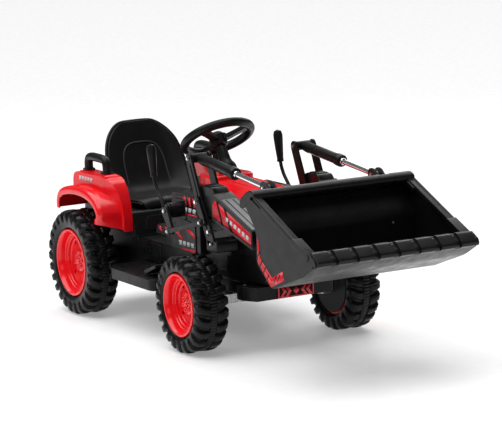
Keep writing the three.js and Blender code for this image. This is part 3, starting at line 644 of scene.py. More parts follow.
def bucket():
    """Folded sheet with side plates, a thick rolled rim, side flanges and hinge brackets."""
    low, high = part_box("bucket")
    half = (high.y - low.y) / 2 / MM
    parts = Parts(LOADER_BLACK)
    cheek = [
        (964, 450, 20), (1035, 372, 22), (1031, 291, 12), (1105, 236, 14), (1258, 288, 10),
        (1316, 319, 8), (1292, 343, 8), (1012, 468, 24),
    ]
    sheet = [
        (970, 446, 2), (1035, 372, 18), (1031, 291, 12), (1105, 236, 14), (1258, 288, 10),
        (1316, 319, 1), (1308, 326, 1), (1254, 297, 12), (1108, 245, 14), (1040, 296, 10),
        (1044, 376, 18), (982, 449, 1),
    ]
    parts.across("sheet", sheet, 3 - half, half - 3, 0.8)
    for side in SIDES.values():
        parts.side = side
        parts.across("cheek", cheek, half - 7, half, 2.0, 3)
        flange = [(1012, 452, 4), (1284, 334, 3), (1288, 344, 3), (1016, 464, 6)]
        parts.across("flange", flange, half - 21, half + 1, 2)
        corner = [(1206, 366, 4), (1286, 331, 3), (1296, 344, 4), (1216, 379, 5)]
        parts.across("corner", corner, half - 26, half + 2, 2.5)
        head = [(1008, 448, 4), (1060, 427, 3), (1066, 437, 3), (1014, 461, 5)]
        parts.across("head", head, half - 26, half + 1, 2)
        for y in (STRUT_Y - 13, STRUT_Y + 7):
            ear = [(946, 452, 8), (980, 436), (1000, 440), (1000, 462), (974, 486, 12), (948, 482, 12)]
            parts.across("ear", ear, y, y + 6, 1.2)
        for y, outward in ((STRUT_Y - 13, -1), (STRUT_Y + 13, 1)):
            spot = place(STRUT_EYE[0], side * y, STRUT_EYE[1])
            parts.append(bolt("ear_bolt", spot, (0, side * outward, 0), 5, CHROME))
        for y in (STRUT_Y - 22, STRUT_Y + 13):
            lug = [(944, 312, 12), (1034, 294), (1036, 370), (1026, 370, 4), (944, 344, 12)]
            parts.across("lug", lug, y, y + 9, 1.2)
        shaft = (place(962, side * (STRUT_Y - 24), 328), place(962, side * (STRUT_Y + 24), 328))
        parts.append(rod("hinge_pin", shaft[0], shaft[1], 6, STEEL))
        parts.append(bolt("hinge_bolt", shaft[1], (0, side, 0), 6, CHROME))
        parts.append(bolt("panel_screw", place(1043, side * STRUT_Y, 350), (1, 0, 0), 3.4, STEEL, 2.4))
    rim_bar = [(951, 420, 12), (955, 446, 16), (988, 467, 14), (1012, 475, 9), (1033, 466, 8), (1032, 450, 8),
               (1008, 444, 6), (984, 428, 8)]
    slot_bar = [(985, 440), (988, 461), (1012, 475, 9), (1033, 466, 8), (1032, 450, 8), (1008, 444, 6)]
    for start, stop, outline in (
        (-half - 1, -STRUT_Y - 14, rim_bar), (14 - STRUT_Y, STRUT_Y - 14, rim_bar),
        (STRUT_Y + 14, half + 1, rim_bar),
        (-STRUT_Y - 16, 16 - STRUT_Y, slot_bar), (STRUT_Y - 16, STRUT_Y + 16, slot_bar),
    ):
        parts.across("rim", outline, start, stop, 4 if outline is rim_bar else 1, 3)
    for side in SIDES.values():
        parts.side = side
        stripe = [(1039, 360), (1038, 296, 4), (1101, 241, 4), (1170, 268), (1163, 290), (1108, 266, 4),
                  (1051, 308, 4),
                  (1048, 344)]
        parts.decal("stripe", stripe, half, half + 0.6, DECAL_RED)
        for x, z in ((1040, 318), (1052, 297), (1068, 281), (1084, 266), (1122, 268), (1140, 274)):
            hatch = [(x - 6, z - 12), (x - 3, z - 14), (x + 12, z + 6), (x + 9, z + 8)]
            parts.across("hatch", hatch, half, half + 0.9, 0)
    attach(merge("bucket_shell", parts), "bucket", "loader_plastic", "bucket")


def cutting_edge():
    """The toothed strip along the bucket's lip: a bar with one bevelled block for each tooth."""
    low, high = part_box("cutting_edge")
    half = (high.y - low.y) / 2 / MM
    teeth = 8
    pitch = 2 * half / teeth
    bar = [(1284, 350, 4), (1296, 331, 2), (1320, 320, 2), (1326, 326, 4), (1322, 338, 6), (1292, 354, 5)]
    parts = Parts(LOADER_BLACK)
    parts.across("bar", bar, -half, half)
    for i in range(teeth):
        start = -half + i * pitch
        tooth = [(1290, 355, 3), (1318, 318, 3), (1331, 324, 4), (1334, 334, 5), (1308, 356, 7)]
        parts.across("tooth", tooth, start + 3, start + pitch - 13, 3.0, 3)
        wedge = [(1294, 350, 3), (1316, 322, 3), (1328, 328, 4), (1304, 350, 6)]
        parts.across("wedge", wedge, start + pitch - 15, start + pitch - 2, 2)
    attach(merge("tooth_strip", parts), "bucket", "loader_plastic", "cutting_edge")


# ------------------------------------------------------------------ seat
def on_back(back, z):
    """x of the backrest's middle line at a height, from its (x, z) points, lowest first."""
    for (x0, z0), (x1, z1) in zip(back, back[1:]):
        if z <= z1:
            return x0 + (x1 - x0) * (z - z0) / (z1 - z0)
    return back[-1][0]


def seat():
    """A one-piece bucket seat: raised edges, a leaning back and a pressed lumbar panel."""
    spine = [
        (130, 302, 88), (134, 311, 96), (130, 320, 101), (114, 323, 105), (84, 321, 109),
        (44, 318, 112), (10, 318, 113), (-12, 325, 114), (-32, 344, 118), (-47, 372, 122),
        (-61, 402, 123), (-74, 432, 119), (-85, 460, 111), (-93, 482, 98), (-99, 500, 81),
        (-103, 513, 61), (-105, 519, 36),
    ]
    across = [i / 14 for i in range(-14, 15)]
    rows = []
    for k, (x, z, half) in enumerate(spine):
        t = k / (len(spine) - 1)
        row = []
        for u in across:
            bolster = max(abs(u) - 0.5, 0) / 0.5
            up = -9 * bolster**2.5 * (1 - ease(0.25, 0.5, t))
            ahead = 20 * bolster**2.5 * ease(0.3, 0.5, t) * (1 - ease(0.66, 1.0, t))
            fold = 16 * bolster**2 * math.exp(-((t - 0.46) / 0.12) ** 2)
            dip = -3 * (1 - u * u) * (1 - ease(0.3, 0.5, t))
            row.append(place(x + ahead + fold, u * half, z + up + dip + fold * 0.3))
        rows.append(row)
    shell = grid_shell("seat_shell", rows, SEAT_BLACK, 9, 2)
    edge_path = [row[0] for row in rows[2:]] + [row[-1] for row in reversed(rows[2:])]
    bead = sweep("seat_bead", edge_path, 4.5, SEAT_BLACK, 3, 10)
    plinth = slab("seat_plinth", [(-44, -108), (124, -101, 34), (124, 101, 34), (-44, 108)], "upward",
                  300.4, 316.5, SEAT_BLACK, 3)
    brace_outline = [(-44, 301), (-20, 301), (-40, 345, 10), (-98, 496, 8), (-111, 492, 8), (-68, 345, 14)]
    braces = [slab("seat_brace", brace_outline, "across", y - 5, y + 5, SEAT_BLACK, 2) for y in (-60, 0, 60)]
    # The near-black screw head is painted shade of the hole in the pan.
    screw = bolt("seat_screw", place(40, -69, 318), (0, 0, 1), 4, SHADE_AND_PRINT_BLACK, 1.6)
    back = [(x, z) for x, z, _ in spine if z > 340 and x < 0]
    arch = []
    for y, z in ((-67, 346), (-66, 372), (-65, 400), (-61, 424), (-50, 446), (-30, 457), (0, 459),
                 (30, 457), (50, 446), (61, 424), (65, 400), (66, 372), (67, 346)):
        arch.append(place(on_back(back, z) + 9.6, y, z + 2))
    # The lumbar bead and the groove line take the lighter grey: painted highlight along their edges.
    lumbar = sweep("lumbar_edge", arch, 2.2, PAINTED_HIGHLIGHT_EDGE, 5, 10)
    line = [place(on_back(back, 392) + 10, y, 394) for y in (-36, -18, 0, 18, 36)]
    groove = sweep("lumbar_line", line, 1.5, PAINTED_HIGHLIGHT_EDGE, 3, 8)
    obj = merge("bucket_seat", [shell, bead, plinth, screw, lumbar, groove, *braces])
    attach(obj, "chassis", "seat_plastic", "seat")


# ------------------------------------------------------------------ fenders and handles
BOX_OUTER = 208  # outer side of the raised box on each fender
HANDLE_Y = 176


def ribbon(name, path, section, side, material):
    """A cross-section of (y, distance along the path's normal) carried along an (x, z) path.

    The front end slants: its outer side is further back and higher than its inner side.
    """
    curve = spline([Vector(point) for point in path], 6)
    verts = []
    for i, here in enumerate(curve):
        ahead = (curve[min(i + 1, len(curve) - 1)] - curve[max(i - 1, 0)]).normalized()
        normal = Vector((-ahead.y, ahead.x))
        for y, lift in section:
            spot = here + normal * lift
            raise_by = (y - 150) / 100 * (1 - ease(246, 312, here.y)) * (here.x > 0)
            verts.append(place(spot.x - 20 * raise_by, side * y, spot.y + 27 * raise_by))
    return smooth_by_angle(new_piece(name, verts, tube_faces(len(curve), len(section)), material), 44)


def fender(hand, side):
    """A mudguard: an arched outer shelf with a turned-down lip, a raised inner box, a black sheet over the
    arch's inner wall.
    """
    pinch = 0.52  # how much of its width the raised box loses towards its front

    def squeeze(x):
        return 1 - pinch * ease(84, 165, x)

    arch = [(-137, 290), (-136, 314), (-124, 337), (-98, 352), (-50, 362), (0, 366), (48, 364), (92, 355),
            (126, 338), (149, 312), (158, 280), (159, 246)]
    section = [(151, 0), (236, 0), (241, -0.8), (245.5, -3), (248.6, -6.5), (250, -11), (250, -21),
               (249, -23.4),
               (246.5, -24), (244.6, -22.5), (244.6, -12), (243, -8), (238, -5.4), (151, -5)]
    parts = Parts(RED, side)
    parts.append(ribbon("shelf", arch, section, side, RED))
    box_outline = [(-98, 345, 4), (-98, 372, 14), (-92, 389, 14), (-76, 397, 12), (86, 399, 24),
                   (116, 391, 24),
                   (138, 368, 24), (153, 332, 20), (162, 290, 20), (160, 246, 3), (128, 300, 20),
                   (96, 340, 20)]
    box_piece = slab("box", box_outline, "across", side * 150.5, side * BOX_OUTER, RED, 10, 5)
    box_piece = merge("box", [box_piece])
    for vertex in box_piece.data.vertices:
        offset = abs(vertex.co.y) / MM - 150
        vertex.co.y = side * (150 + offset * squeeze((vertex.co.x - REAR_X) / MM)) * MM
    parts.append(box_piece)
    pad = [(-78, 395, 3), (92, 396, 3), (84, 401, 3), (-70, 400, 3)]
    parts.across("pad", pad, 157, BOX_OUTER - 12, 2, 3)
    for k in range(5):
        x = -56 + 18 * k
        mark = [(x, 374), (x + 13, 374), (x + 15, 388), (x + 2, 388)]
        parts.decal("mark", mark, BOX_OUTER - 1.5, BOX_OUTER + 0.6, DECAL_GREY)
    attach(merge(f"mudguard_{hand}", parts), "chassis", "red_plastic", f"fender_{hand}")
    # A black sheet over the red inner wall of the arch, so the arch is dark inside.
    black_arch_sheet = [(-132, 246, 10), (140, 246, 4), (136, 300, 20), (104, 344, 20), (0, 356, 40),
             (-100, 334, 20), (-130, 300, 10)]
    attach(slab(f"liner_{hand}", black_arch_sheet, "across", side * 149.2, side * 153, BLACK, 1), "chassis",
           "body_plastic")


def handle(hand, side):
    y = side * HANDLE_Y
    rear, front, top = -54, 62, 440
    points = [
        place(rear, y, 400), place(rear - 1, y, 420), place(rear + 5, y, 435), place(rear + 22, y, top),
        place(-8, y, top + 1), place(front - 22, y, top), place(front - 5, y, 435), place(front + 1, y, 420),
        place(front, y, 400),
    ]
    grip = sweep(f"grip_{hand}", points, 12.5, TRIM_BLACK, 6, 20)
    parts = Parts(TRIM_BLACK, side)
    parts.append(grip)
    for x in (rear, front):
        boss = rect(x - 15, x + 15, y - 15, y + 15, 8)
        parts.append(slab("foot", boss, "upward", 397, 406, TRIM_BLACK, 2))
    attach(merge(f"grab_handle_{hand}", parts), "chassis", "trim_plastic", f"handle_{hand}")


# ------------------------------------------------------------------ body, hood and front
def plank(name, corners, origin, u_axis, v_axis, low, high, material, edge=1.0):
    """An outline in the plane of two axes, in millimetres from an origin, given a thickness."""
    normal = u_axis.cross(v_axis)
    return prism(name, corners, lambda u, v, w: origin + (u_axis * u + v_axis * v + normal * w) * MM,
                 low, high, material, edge)


def slash(top, bottom, width, foot=None):
    """A slanted decal stripe from (x, z) to (x, z), as an outline."""
    foot = width if foot is None else foot
    return [(top[0], top[1]), (top[0] + width, top[1]), (bottom[0] + foot, bottom[1]), bottom]


def tub_and_seat_base():
    """The lower body with side panels, sills and a tail panel, and the seat box on top of it."""
    side = [(-150, 100, 6), (535, 100, 4), (535, 232, 4), (-165, 232, 10), (-165, 140, 18)]
    parts = Parts(BLACK)
    parts.across("body", side, -135, 135, 4, 3)
    parts.pair("side_panel", rect(192, 300, 172, 224, 8), 134, 137)
    parts.pair("sill", [(190, 104, 6), (560, 104, 6), (560, 132, 8), (190, 132, 8)], 134, 139, 2)
    tail = rect(-104, 104, 150, 222, 8)
    parts.along("tail_panel", tail, -168.5, -160, 2)
    # Tail slots: near-black strips, painted shade inside the slots.
    for z in (168, 184, 200):
        slot = rect(-60, 60, z, z + 7, 2)
        parts.along("tail_slot", slot, -169, -166, 0.5, material=SHADE_AND_PRINT_BLACK)
    tow_plate = rect(-30, 30, 118, 140, 6)
    parts.along("tow_plate", tow_plate, -170, -158, 2)
    attach(merge("body_tub", parts), "chassis", "body_plastic", "chassis_tub")

    box_side = [(-161, 233, 3), (178, 233, 3), (152, 299.6, 8), (-151, 299.6, 10)]
    parts = Parts(BLACK)
    parts.across("seat_box", box_side, -148.5, 148.5, 4, 3)
    front = [(-120, 246, 10), (120, 246, 10), (104, 284, 10), (-104, 284, 10)]
    slope = Vector((-26, 0, 67)).normalized()
    parts.append(plank("seat_box_panel", [(y, (z - 233) * 1.07, r) for y, z, r in front],
                       place(178, 0, 233), Vector((0, 1, 0)), slope, -1, 1.6, BLACK))
    # Near-black bolt heads: painted shade of the screw holes.
    for y in (-92, 92):
        parts.append(bolt("seat_bolt", place(140, y, 299), (0, 0, 1), 4, SHADE_AND_PRINT_BLACK, 1.8))
    attach(merge("seat_box", parts), "chassis", "body_plastic", "seat_base")


def dash():
    """The dash block with its side decals, and the skirt below it with bevelled side plates."""
    block = [(387, 233, 2), (558, 233, 2), (558, 391, 4), (402, 391, 12)]
    parts = Parts(BLACK)
    parts.across("dash_block", block, -146.5, 146.5, 5, 3)
    collar = [(400, -92, 14), (520, -104, 6), (520, 104, 6), (400, 92, 14)]
    parts.upward("dash_collar", collar, 386, 401, 4, 3)
    skirt = [(332, 233, 4), (535, 233, 2), (535, 318, 4), (440, 318, 14), (372, 300, 14)]
    parts.across("skirt", skirt, -142, 142, 5, 3)
    plate = [(300, 262, 3), (373, 262, 6), (452, 233, 4), (535, 233, 2), (535, 316, 6), (446, 322, 8),
             (424, 303, 10), (312, 288, 6)]
    parts.pair("skirt_plate", plate, 134, 149, 5.5, 3)
    parts.pair("dash_plate", [(412, 326, 3), (554, 326, 3), (554, 386, 4), (418, 384, 10)], 145, 148, 1.2)
    for x in (440, 474, 508):
        parts.append(revolve("switch", [(0.001, 0), (9, 0), (9, 3), (6.5, 5), (0.001, 5)],
                             place(392, (x - 474) * 1.6, 350), (-1, 0, 0.1), TRIM_BLACK, 24, 0.8))
    for outline in (
        slash((470, 384), (478, 360), 15, 12), slash((498, 384), (504, 360), 14, 12),
        slash((526, 384), (530, 360), 14, 12), rect(472, 550, 335, 339),
    ):
        parts.pair("dash_slash", outline, 147, 148.8, 0, material=DECAL_RED)
    for k in range(3):
        mark = [(474 + 25 * k, 343), (490 + 25 * k, 343), (493 + 25 * k, 355), (477 + 25 * k, 355)]
        parts.pair("dash_mark", mark, 147, 149.2, 0, material=DECAL_GREY)
    for outline in (
        slash((316, 284), (328, 270), 15, 14), slash((352, 286), (372, 272), 22, 20),
        slash((402, 289), (446, 264), 26, 22), [(480, 296), (504, 296), (534, 283), (534, 273)],
        [(456, 240), (534, 243), (534, 236), (462, 235)],
    ):
        parts.pair("skirt_slash", outline, 148, 149.7, 0, material=DECAL_RED)
    for k in range(4):
        x = 442 + 23 * k
        mark = [(x, 248), (x + 15, 249), (x + 12, 261), (x - 3, 260)]
        parts.pair("skirt_mark", mark, 148, 150.2, 0, material=DECAL_GREY)
    attach(merge("dash_and_skirt", parts), "chassis", "body_plastic", "dash_cowl")


def nose():
    """The front body: a set-back chin, round-cornered cheeks and a slatted grille."""
    def plan(half, corner, front, tip, radius):
        return [(535, -half), (corner, -half, radius), (front, -tip, 16), (front, tip, 16),
                (corner, half, radius), (535, half)]
    parts = Parts(BLACK)
    parts.upward("chin", plan(127, 700, 778, 88, 30), 150, 184, 3)
    parts.upward("cheeks", plan(127, 700, 825, 80, 46), 181, 331, 6, 3)
    parts.upward("brow", plan(100, 712, 825, 78, 30), 326, 384, 5, 3)
    parts.pair("cheek_panel", [(556, 206, 10), (676, 206, 24), (676, 306, 24), (556, 306, 10)], 125,
               129.5, 3, 3)
    frame_outline = rect(-66, 66, 200, 310, 10)
    parts.along("grille_frame", frame_outline, 822, 829, 3, 3)
    # A near-black sheet behind the slats: painted shade inside the grille.
    parts.along("grille_shade", rect(-56, 56, 208, 302, 6), 826, 829.6, 0.5, material=SHADE_AND_PRINT_BLACK)
    for k in range(6):
        z = 211 + 15.5 * k
        parts.along("slat", rect(-56, 56, z, z + 7, 2), 827, 832)
    for y in (-58, 58):
        lamp = [(0.001, 0), (15, 0), (15, 5), (12, 7), (11, 5), (0.001, 6.5)]
        parts.append(revolve("lamp", lamp, place(822, y * 0.9, 354), (1, 0, 0), DECAL_GREY, 32, 0.6))
    attach(merge("nose_body", parts), "chassis", "body_plastic", "nose")


def hood():
    """The moulded hood: a flat crown, sloping flanks and a raised binnacle at its rear."""
    stations = [
        (474, 40, 411, 64, 404, 384.5), (480, 48, 419, 97, 399, 384.5), (560, 50, 418, 100, 396, 384.5),
        (640, 49, 416, 101, 395, 384.5), (720, 46, 413, 100, 394, 384.5), (772, 43, 409, 93, 392, 384.5),
        (822, 38, 402, 74, 390, 384.5), (845, 35, 394, 64, 388, 384.5), (848, 33, 386, 62, 386, 384.5),
    ]
    rows = []
    for x, crown, top, half, edge, base in stations:
        profile = [(half + 0.6, base), (half, edge), (half - 5, edge + 4), (crown + 7, top - 3),
                   (crown, top), (0, top + 1.5)]
        row = [place(x, -y, z) for y, z in profile] + [place(x, y, z) for y, z in reversed(profile[:-1])]
        rows.append(row)
    shell = round_edges(grid_shell("hood_shell", rows, RED, 3, 0), 2.5, 3, 12)
    parts = Parts(RED)
    parts.append(shell)
    crest = [(540, -34, 6), (806, -26, 12), (806, 26, 12), (540, 34, 6)]
    parts.append(prism("hood_crest", crest, lambda u, v, w: place(u, v, w + 419 - (u - 540) * 0.036),
                       -3, 2.5, RED))
    rim = [(398, -62, 20), (462, -70, 20), (495, -60, 14), (495, 60, 14), (462, 70, 20), (398, 62, 20)]
    parts.upward("binnacle", rim, 388, 430, 7, 4)
    attach(merge("hood_moulding", parts), "chassis", "red_plastic", "hood")


def bumper():
    bow = [(735, -138, 2), (765, -138, 3), (804.5, -115, 4), (804.5, 115, 4), (765, 138, 3), (735, 138, 2)]
    parts = Parts(BLACK)
    parts.upward("bar", bow, 140.5, 178, 4, 1)
    for side in SIDES.values():
        parts.append(bolt("bumper_bolt", place(752, side * 122, 177.5), (0, 0, 1), 4, STEEL, 3))
    attach(merge("bumper_bar", parts), "chassis", "body_plastic", "bumper")
    front = (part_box("bumper_plate")[1].x - REAR_X) / MM
    plate = rect(-54, 54, 142, 176, 2)
    parts = Parts(RED)
    parts.along("plate", plate, front - 3.7, front, 0.6, material=DECAL_RED)
    inner = rect(-50, 50, 146, 172, 1)
    parts.along("plate_field", inner, front - 1, front + 0.3, 0, material=SHADE_AND_PRINT_BLACK)
    for k in range(2):
        for side in SIDES.values():
            y = side * (24 + 15 * k)
            chevron = [(y, 146), (y + side * 9, 146), (y + side * -1, 159), (y + side * 9, 172),
                       (y, 172), (y - side * 10, 159)]
            parts.along("chevron", chevron, front, front + 0.6, 0, material=DECAL_RED)
    diamond = [(-9, 159), (0, 148), (9, 159), (0, 170)]
    parts.along("diamond", diamond, front, front + 0.6, 0, material=DECAL_RED)
    attach(merge("bumper_badge", parts), "chassis", "red_plastic", "bumper_plate")


def footrest(hand, side):
    """A ribbed step with a raised field inside its edge."""
    plan = [(190, 135.5, 2), (480, 135.5, 2), (480, 258, 26), (222, 258, 20), (190, 232, 14)]
    parts = Parts(BLACK, side)
    parts.upward("step", plan, 136, 167, 4, 3)
    rim = [(196, 140, 2), (474, 140, 2), (474, 253, 24), (226, 253, 18), (196, 229, 12)]
    parts.upward("step_top", rim, 164, 168.3, 1.2)
    for k in range(12):
        y = 147 + 8.6 * k
        start = 206 + max(y - 226, 0) * 1.1
        end = 466 if y < 172 else 382
        rib = rect(start, end, y, y + 3.6, 1.5)
        parts.upward("rib", rib, 167, 170, 0.8)
    attach(merge(f"step_{hand}", parts), "chassis", "body_plastic", f"footrest_{hand}")


def pedal():
    pad = [(393, 173, 3), (402, 170, 3), (466, 197, 4), (462, 206, 4), (392, 181, 3)]
    parts = Parts(TRIM_BLACK)
    parts.across("pad", pad, -238, -178, 2)
    for k in range(6):
        x = 402 + 10 * k
        z = 182.5 + (x - 392) * 0.371
        rib = [(x, z + 1), (x + 4, z + 2.5), (x + 4, z + 5), (x, z + 3.5)]
        parts.across("pad_rib", rib, -233, -183, 0.8)
    attach(merge("pedal_pad", parts), "pedal", "trim_plastic", "pedal")


def gearbox(hand, side):
    shell = [(-62, 118, 14), (42, 118, 22), (42, 186, 22), (-62, 178, 14)]
    parts = Parts(BLACK, side)
    parts.across("case", shell, 136, 172, 4, 3)
    inner = [(-54, 126, 12), (34, 126, 18), (34, 178, 18), (-54, 170, 12)]
    parts.across("case_cover", inner, 170, 180, 3, 3)
    boss = [(9, 0), (22, 0), (19, 6), (9, 6)]
    parts.append(revolve("boss", boss, place(0, side * 176, 150), (0, side, 0), BLACK, 32, 1))
    for x, z in ((-44, 136), (-44, 162), (24, 136), (24, 168)):
        parts.bolt("case_screw", x, 180, z, 3, STEEL, 2.4)
    attach(merge(f"drive_{hand}", parts), "chassis", "body_plastic", f"gearbox_{hand}")


# ------------------------------------------------------------------ steering
LEAN = math.radians(32)
STEER_AXIS = Vector((-math.sin(LEAN), 0, math.cos(LEAN)))
STEER_AHEAD = Vector((math.cos(LEAN), 0, math.sin(LEAN)))


def steer_point(height):
    return place(458, 0, 438) + STEER_AXIS * height * MM


def steering():
    """Column with a flared foot, a thick rim on three channel spokes and an eight-sided cap."""
    column = [(0.001, -20), (25, -20), (26, 6), (24, 14), (19, 22), (17, 30), (15, 66), (14, 71.5),
              (0.001, 71.5)]
    attach(revolve("column", column, steer_point(0), STEER_AXIS, TRIM_BLACK, 40, 2), "chassis",
           "body_plastic",
           "steering_column")
    middle = steer_point(100)
    ring = []
    for k in range(20):
        angle = 2 * math.pi * k / 20
        ring.append((93.5 + 12.6 * math.cos(angle), 12.2 * math.sin(angle)))
    parts = Parts(TRIM_BLACK)
    parts.append(revolve("ring", ring, middle, STEER_AXIS, TRIM_BLACK, 96))
    left = Vector((0, 1, 0))
    for degrees in (52, 180, -52):
        angle = math.radians(degrees)
        out = STEER_AHEAD * math.cos(angle) + left * math.sin(angle)
        beside = STEER_AXIS.cross(out)

        def point(u, v, w, out=out, beside=beside):
            return middle + (out * u + beside * v + STEER_AXIS * (w - 15 + 12 * u / 90)) * MM

        web = [(12, -13, 3), (58, -10, 20), (92, -14, 3), (92, 14, 3), (58, 10, 20), (12, 13, 3)]
        parts.append(prism("spoke", web, point, -3, 5, TRIM_BLACK, 2))
        for v in (-1, 1):
            lip = [(12, v * 13, 2), (58, v * 10, 20), (90, v * 13, 2), (90, v * 9, 2),
                   (58, v * 5.5, 20), (12, v * 8, 2)]
            parts.append(prism("spoke_lip", lip, point, 2, 9, TRIM_BLACK))
    hub = [(0.001, -28), (19, -28), (23, -24), (25, -8), (26, 2), (24, 4.5), (19.5, 4.5), (19.5, -2),
           (0.001, -2)]
    parts.append(revolve("hub", hub, middle, STEER_AXIS, TRIM_BLACK, 8, 1.6))
    attach(merge("steering_ring", parts), "steering_wheel", "trim_plastic", "steering_wheel")
    cap = [(0.001, 3), (17.5, 3), (17.5, 9), (13.5, 13.5), (0.001, 14)]
    attach(revolve("horn_cap", cap, middle, STEER_AXIS, TRIM_BLACK, 8, 1.4), "horn_button",
           "trim_plastic", "horn_button")


# ------------------------------------------------------------------ loader
def strap(name, start, end, half, end_half, low, high, material, edge=1.6):
    """A flat strap between two (x, z) points with round ends, as one rounded slab."""
    first, last = Vector(start), Vector(end)
    angle = math.atan2(last.y - first.y, last.x - first.x)
    outline = []
    for center, reach, turn in ((last, end_half, -90), (first, half, 90)):
        for k in range(13):
            here = angle + math.radians(turn + 15 * k)
            outline.append((center.x + reach * math.cos(here), center.y + reach * math.sin(here), 0))
    return slab(name, outline, "across", low, high, material, edge)


MAST_TOP, ARM_PIVOT, MAST_FOOT = (596, 504), (644, 395), (700, 300)
CRANK = (34, -50)  # from a pivot to its lift link's pin, on the arm and on the lever
CRANK_PIN = (ARM_PIVOT[0] + CRANK[0], ARM_PIVOT[1] + CRANK[1])
LEVER_PIVOT = (455, 347)


def mast(hand, side):
    """Two plates, ribbed outside and tied at the foot, with the strut pin and its bolts."""
    parts = Parts(LOADER_BLACK, side)
    for y in (128, 185):
        parts.strap("upper", MAST_TOP, ARM_PIVOT, 15, 17, y, y + 7)
        parts.strap("lower", ARM_PIVOT, MAST_FOOT, 17, 19, y, y + 7)
    for low, high in (((603, 486), (637, 412)), ((653, 378), (690, 314))):
        parts.strap("rib", low, high, 4, 5, 191, 193.8, 1.2)
    foot = [(678, 269, 6), (738, 269, 6), (738, 300, 10), (678, 300, 6)]
    parts.across("foot", foot, 128, 192, 3)
    pad = [(560, 250, 10), (700, 250, 10), (724, 290, 8), (712, 312, 10), (676, 322, 14), (600, 300, 20)]
    parts.across("foot_web", pad, 127, 133, 2)
    pin = (place(MAST_TOP[0], side * 130, MAST_TOP[1]), place(MAST_TOP[0], side * 190, MAST_TOP[1]))
    parts.append(rod("strut_pin", pin[0], pin[1], 5.5, STEEL))
    for x, z, size in ((*MAST_TOP, 4.5), (695, 321, 5), (708, 290, 3.6)):
        parts.bolt("mast_bolt", x, 192, z, size, CHROME, 5)
    parts.append(bolt("mast_bolt", place(MAST_TOP[0], side * 128, MAST_TOP[1]), (0, -side, 0), 4.5,
                      CHROME, 5))
    attach(merge(f"mast_plates_{hand}", parts), "chassis", "loader_plastic", f"mast_{hand}")


def arm(hand, side):
    """A box arm with a stepped root block, a grooved top and a slashed red plate outside."""
    beam = [(712, 354, 6), (925, 303, 6), (927, 352, 8), (751, 413, 10), (712, 426, 4)]
    tongue = [(636, 368, 12), (662, 367, 6), (722, 353, 6), (722, 420, 6), (704, 438, 8), (642, 438, 10),
              (622, 418, 12), (622, 384, 12)]
    tip = [(918, 305), (964, 307, 18), (982, 318, 12), (982, 338, 12), (964, 349, 14), (918, 352)]
    parts = Parts(LOADER_BLACK, side)
    parts.across("beam", beam, 131, 189.5, 3.5, 3)
    parts.across("tongue", tongue, 137, 183, 4, 3)
    parts.across("tip", tip, 148, 172, 3, 3)
    # The pale grey plank on the beam's top is painted sheen from the light above.
    slope = Vector((174, 0, -61)).normalized()
    top = rect(3, 176, -23, 23, 4)
    parts.append(plank("painted_sheen_top", top, place(751, side * STRUT_Y, 413), slope, Vector((0, 1, 0)), -1,
                       0.7, PAINTED_SHEEN_GREY, 0.4))
    for y in (150, 170):
        groove = rect(6, 168, -1.4, 1.4)
        parts.append(plank("groove", groove, place(752, side * y, 413.2), slope, Vector((0, 1, 0)), -1,
                           1.3, LOADER_BLACK, 0.4))
    block = [(646, 424, 6), (700, 424, 6), (694, 441, 6), (652, 441, 6)]
    parts.across("root_block", block, 142, 178, 3, 3)
    plate = [(719, 361, 2), (921, 312, 2), (921, 344, 2), (750, 403, 3), (733, 409, 2), (719, 396, 2)]
    parts.decal("plate", plate, 189, 190.6, DECAL_RED)
    for outline in (
        [(740, 409), (751, 406), (775, 347), (764, 350)], [(779, 396), (792, 391), (826, 335), (812, 338)],
        [(719, 365), (921, 316), (921, 313), (719, 362)],
    ):
        parts.decal("gap", outline, 189, 191, SHADE_AND_PRINT_BLACK)
    for k in range(6):
        x = 790 + 21 * k
        z = 367 - 0.31 * (x - 790)
        mark = [(x, z - 4), (x + 12, z - 7.5), (x + 15, z + 2.5), (x + 3, z + 6)]
        parts.decal("mark", mark, 189, 191.4, DECAL_GREY)
    attach(merge(f"loader_arm_{hand}", parts), "loader_arms", "loader_plastic", f"arm_{hand}")


def crank(hand, side):
    end = CRANK_PIN
    parts = Parts(STEEL, side)
    parts.pin("shaft", ARM_PIVOT[0], ARM_PIVOT[1], 125, 199, 8, STEEL)
    parts.append(strap("crank", ARM_PIVOT, end, 14, 10, side * 194.2, side * 199, LOADER_BLACK, 1))
    parts.pin("pin", end[0], end[1], 195, 210, 5, STEEL)
    parts.bolt("crank_bolt", ARM_PIVOT[0], 199, ARM_PIVOT[1], 5.2, CHROME, 5.5)
    parts.bolt("pin_bolt", end[0], 209.4, end[1], 4, CHROME, 4)
    attach(merge(f"crank_{hand}", parts), "loader_arms", "frame_steel", f"arm_crank_{hand}")


def cross_tube():
    low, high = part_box("arm_cross_tube")
    middle = (low + high) / 2
    ends = [Vector((middle.x, y, middle.z)) for y in (low.y, high.y)]
    attach(rod("cross_bar", ends[0], ends[1], 11, LOADER_BLACK, 32), "loader_arms", "loader_plastic",
           "arm_cross_tube")


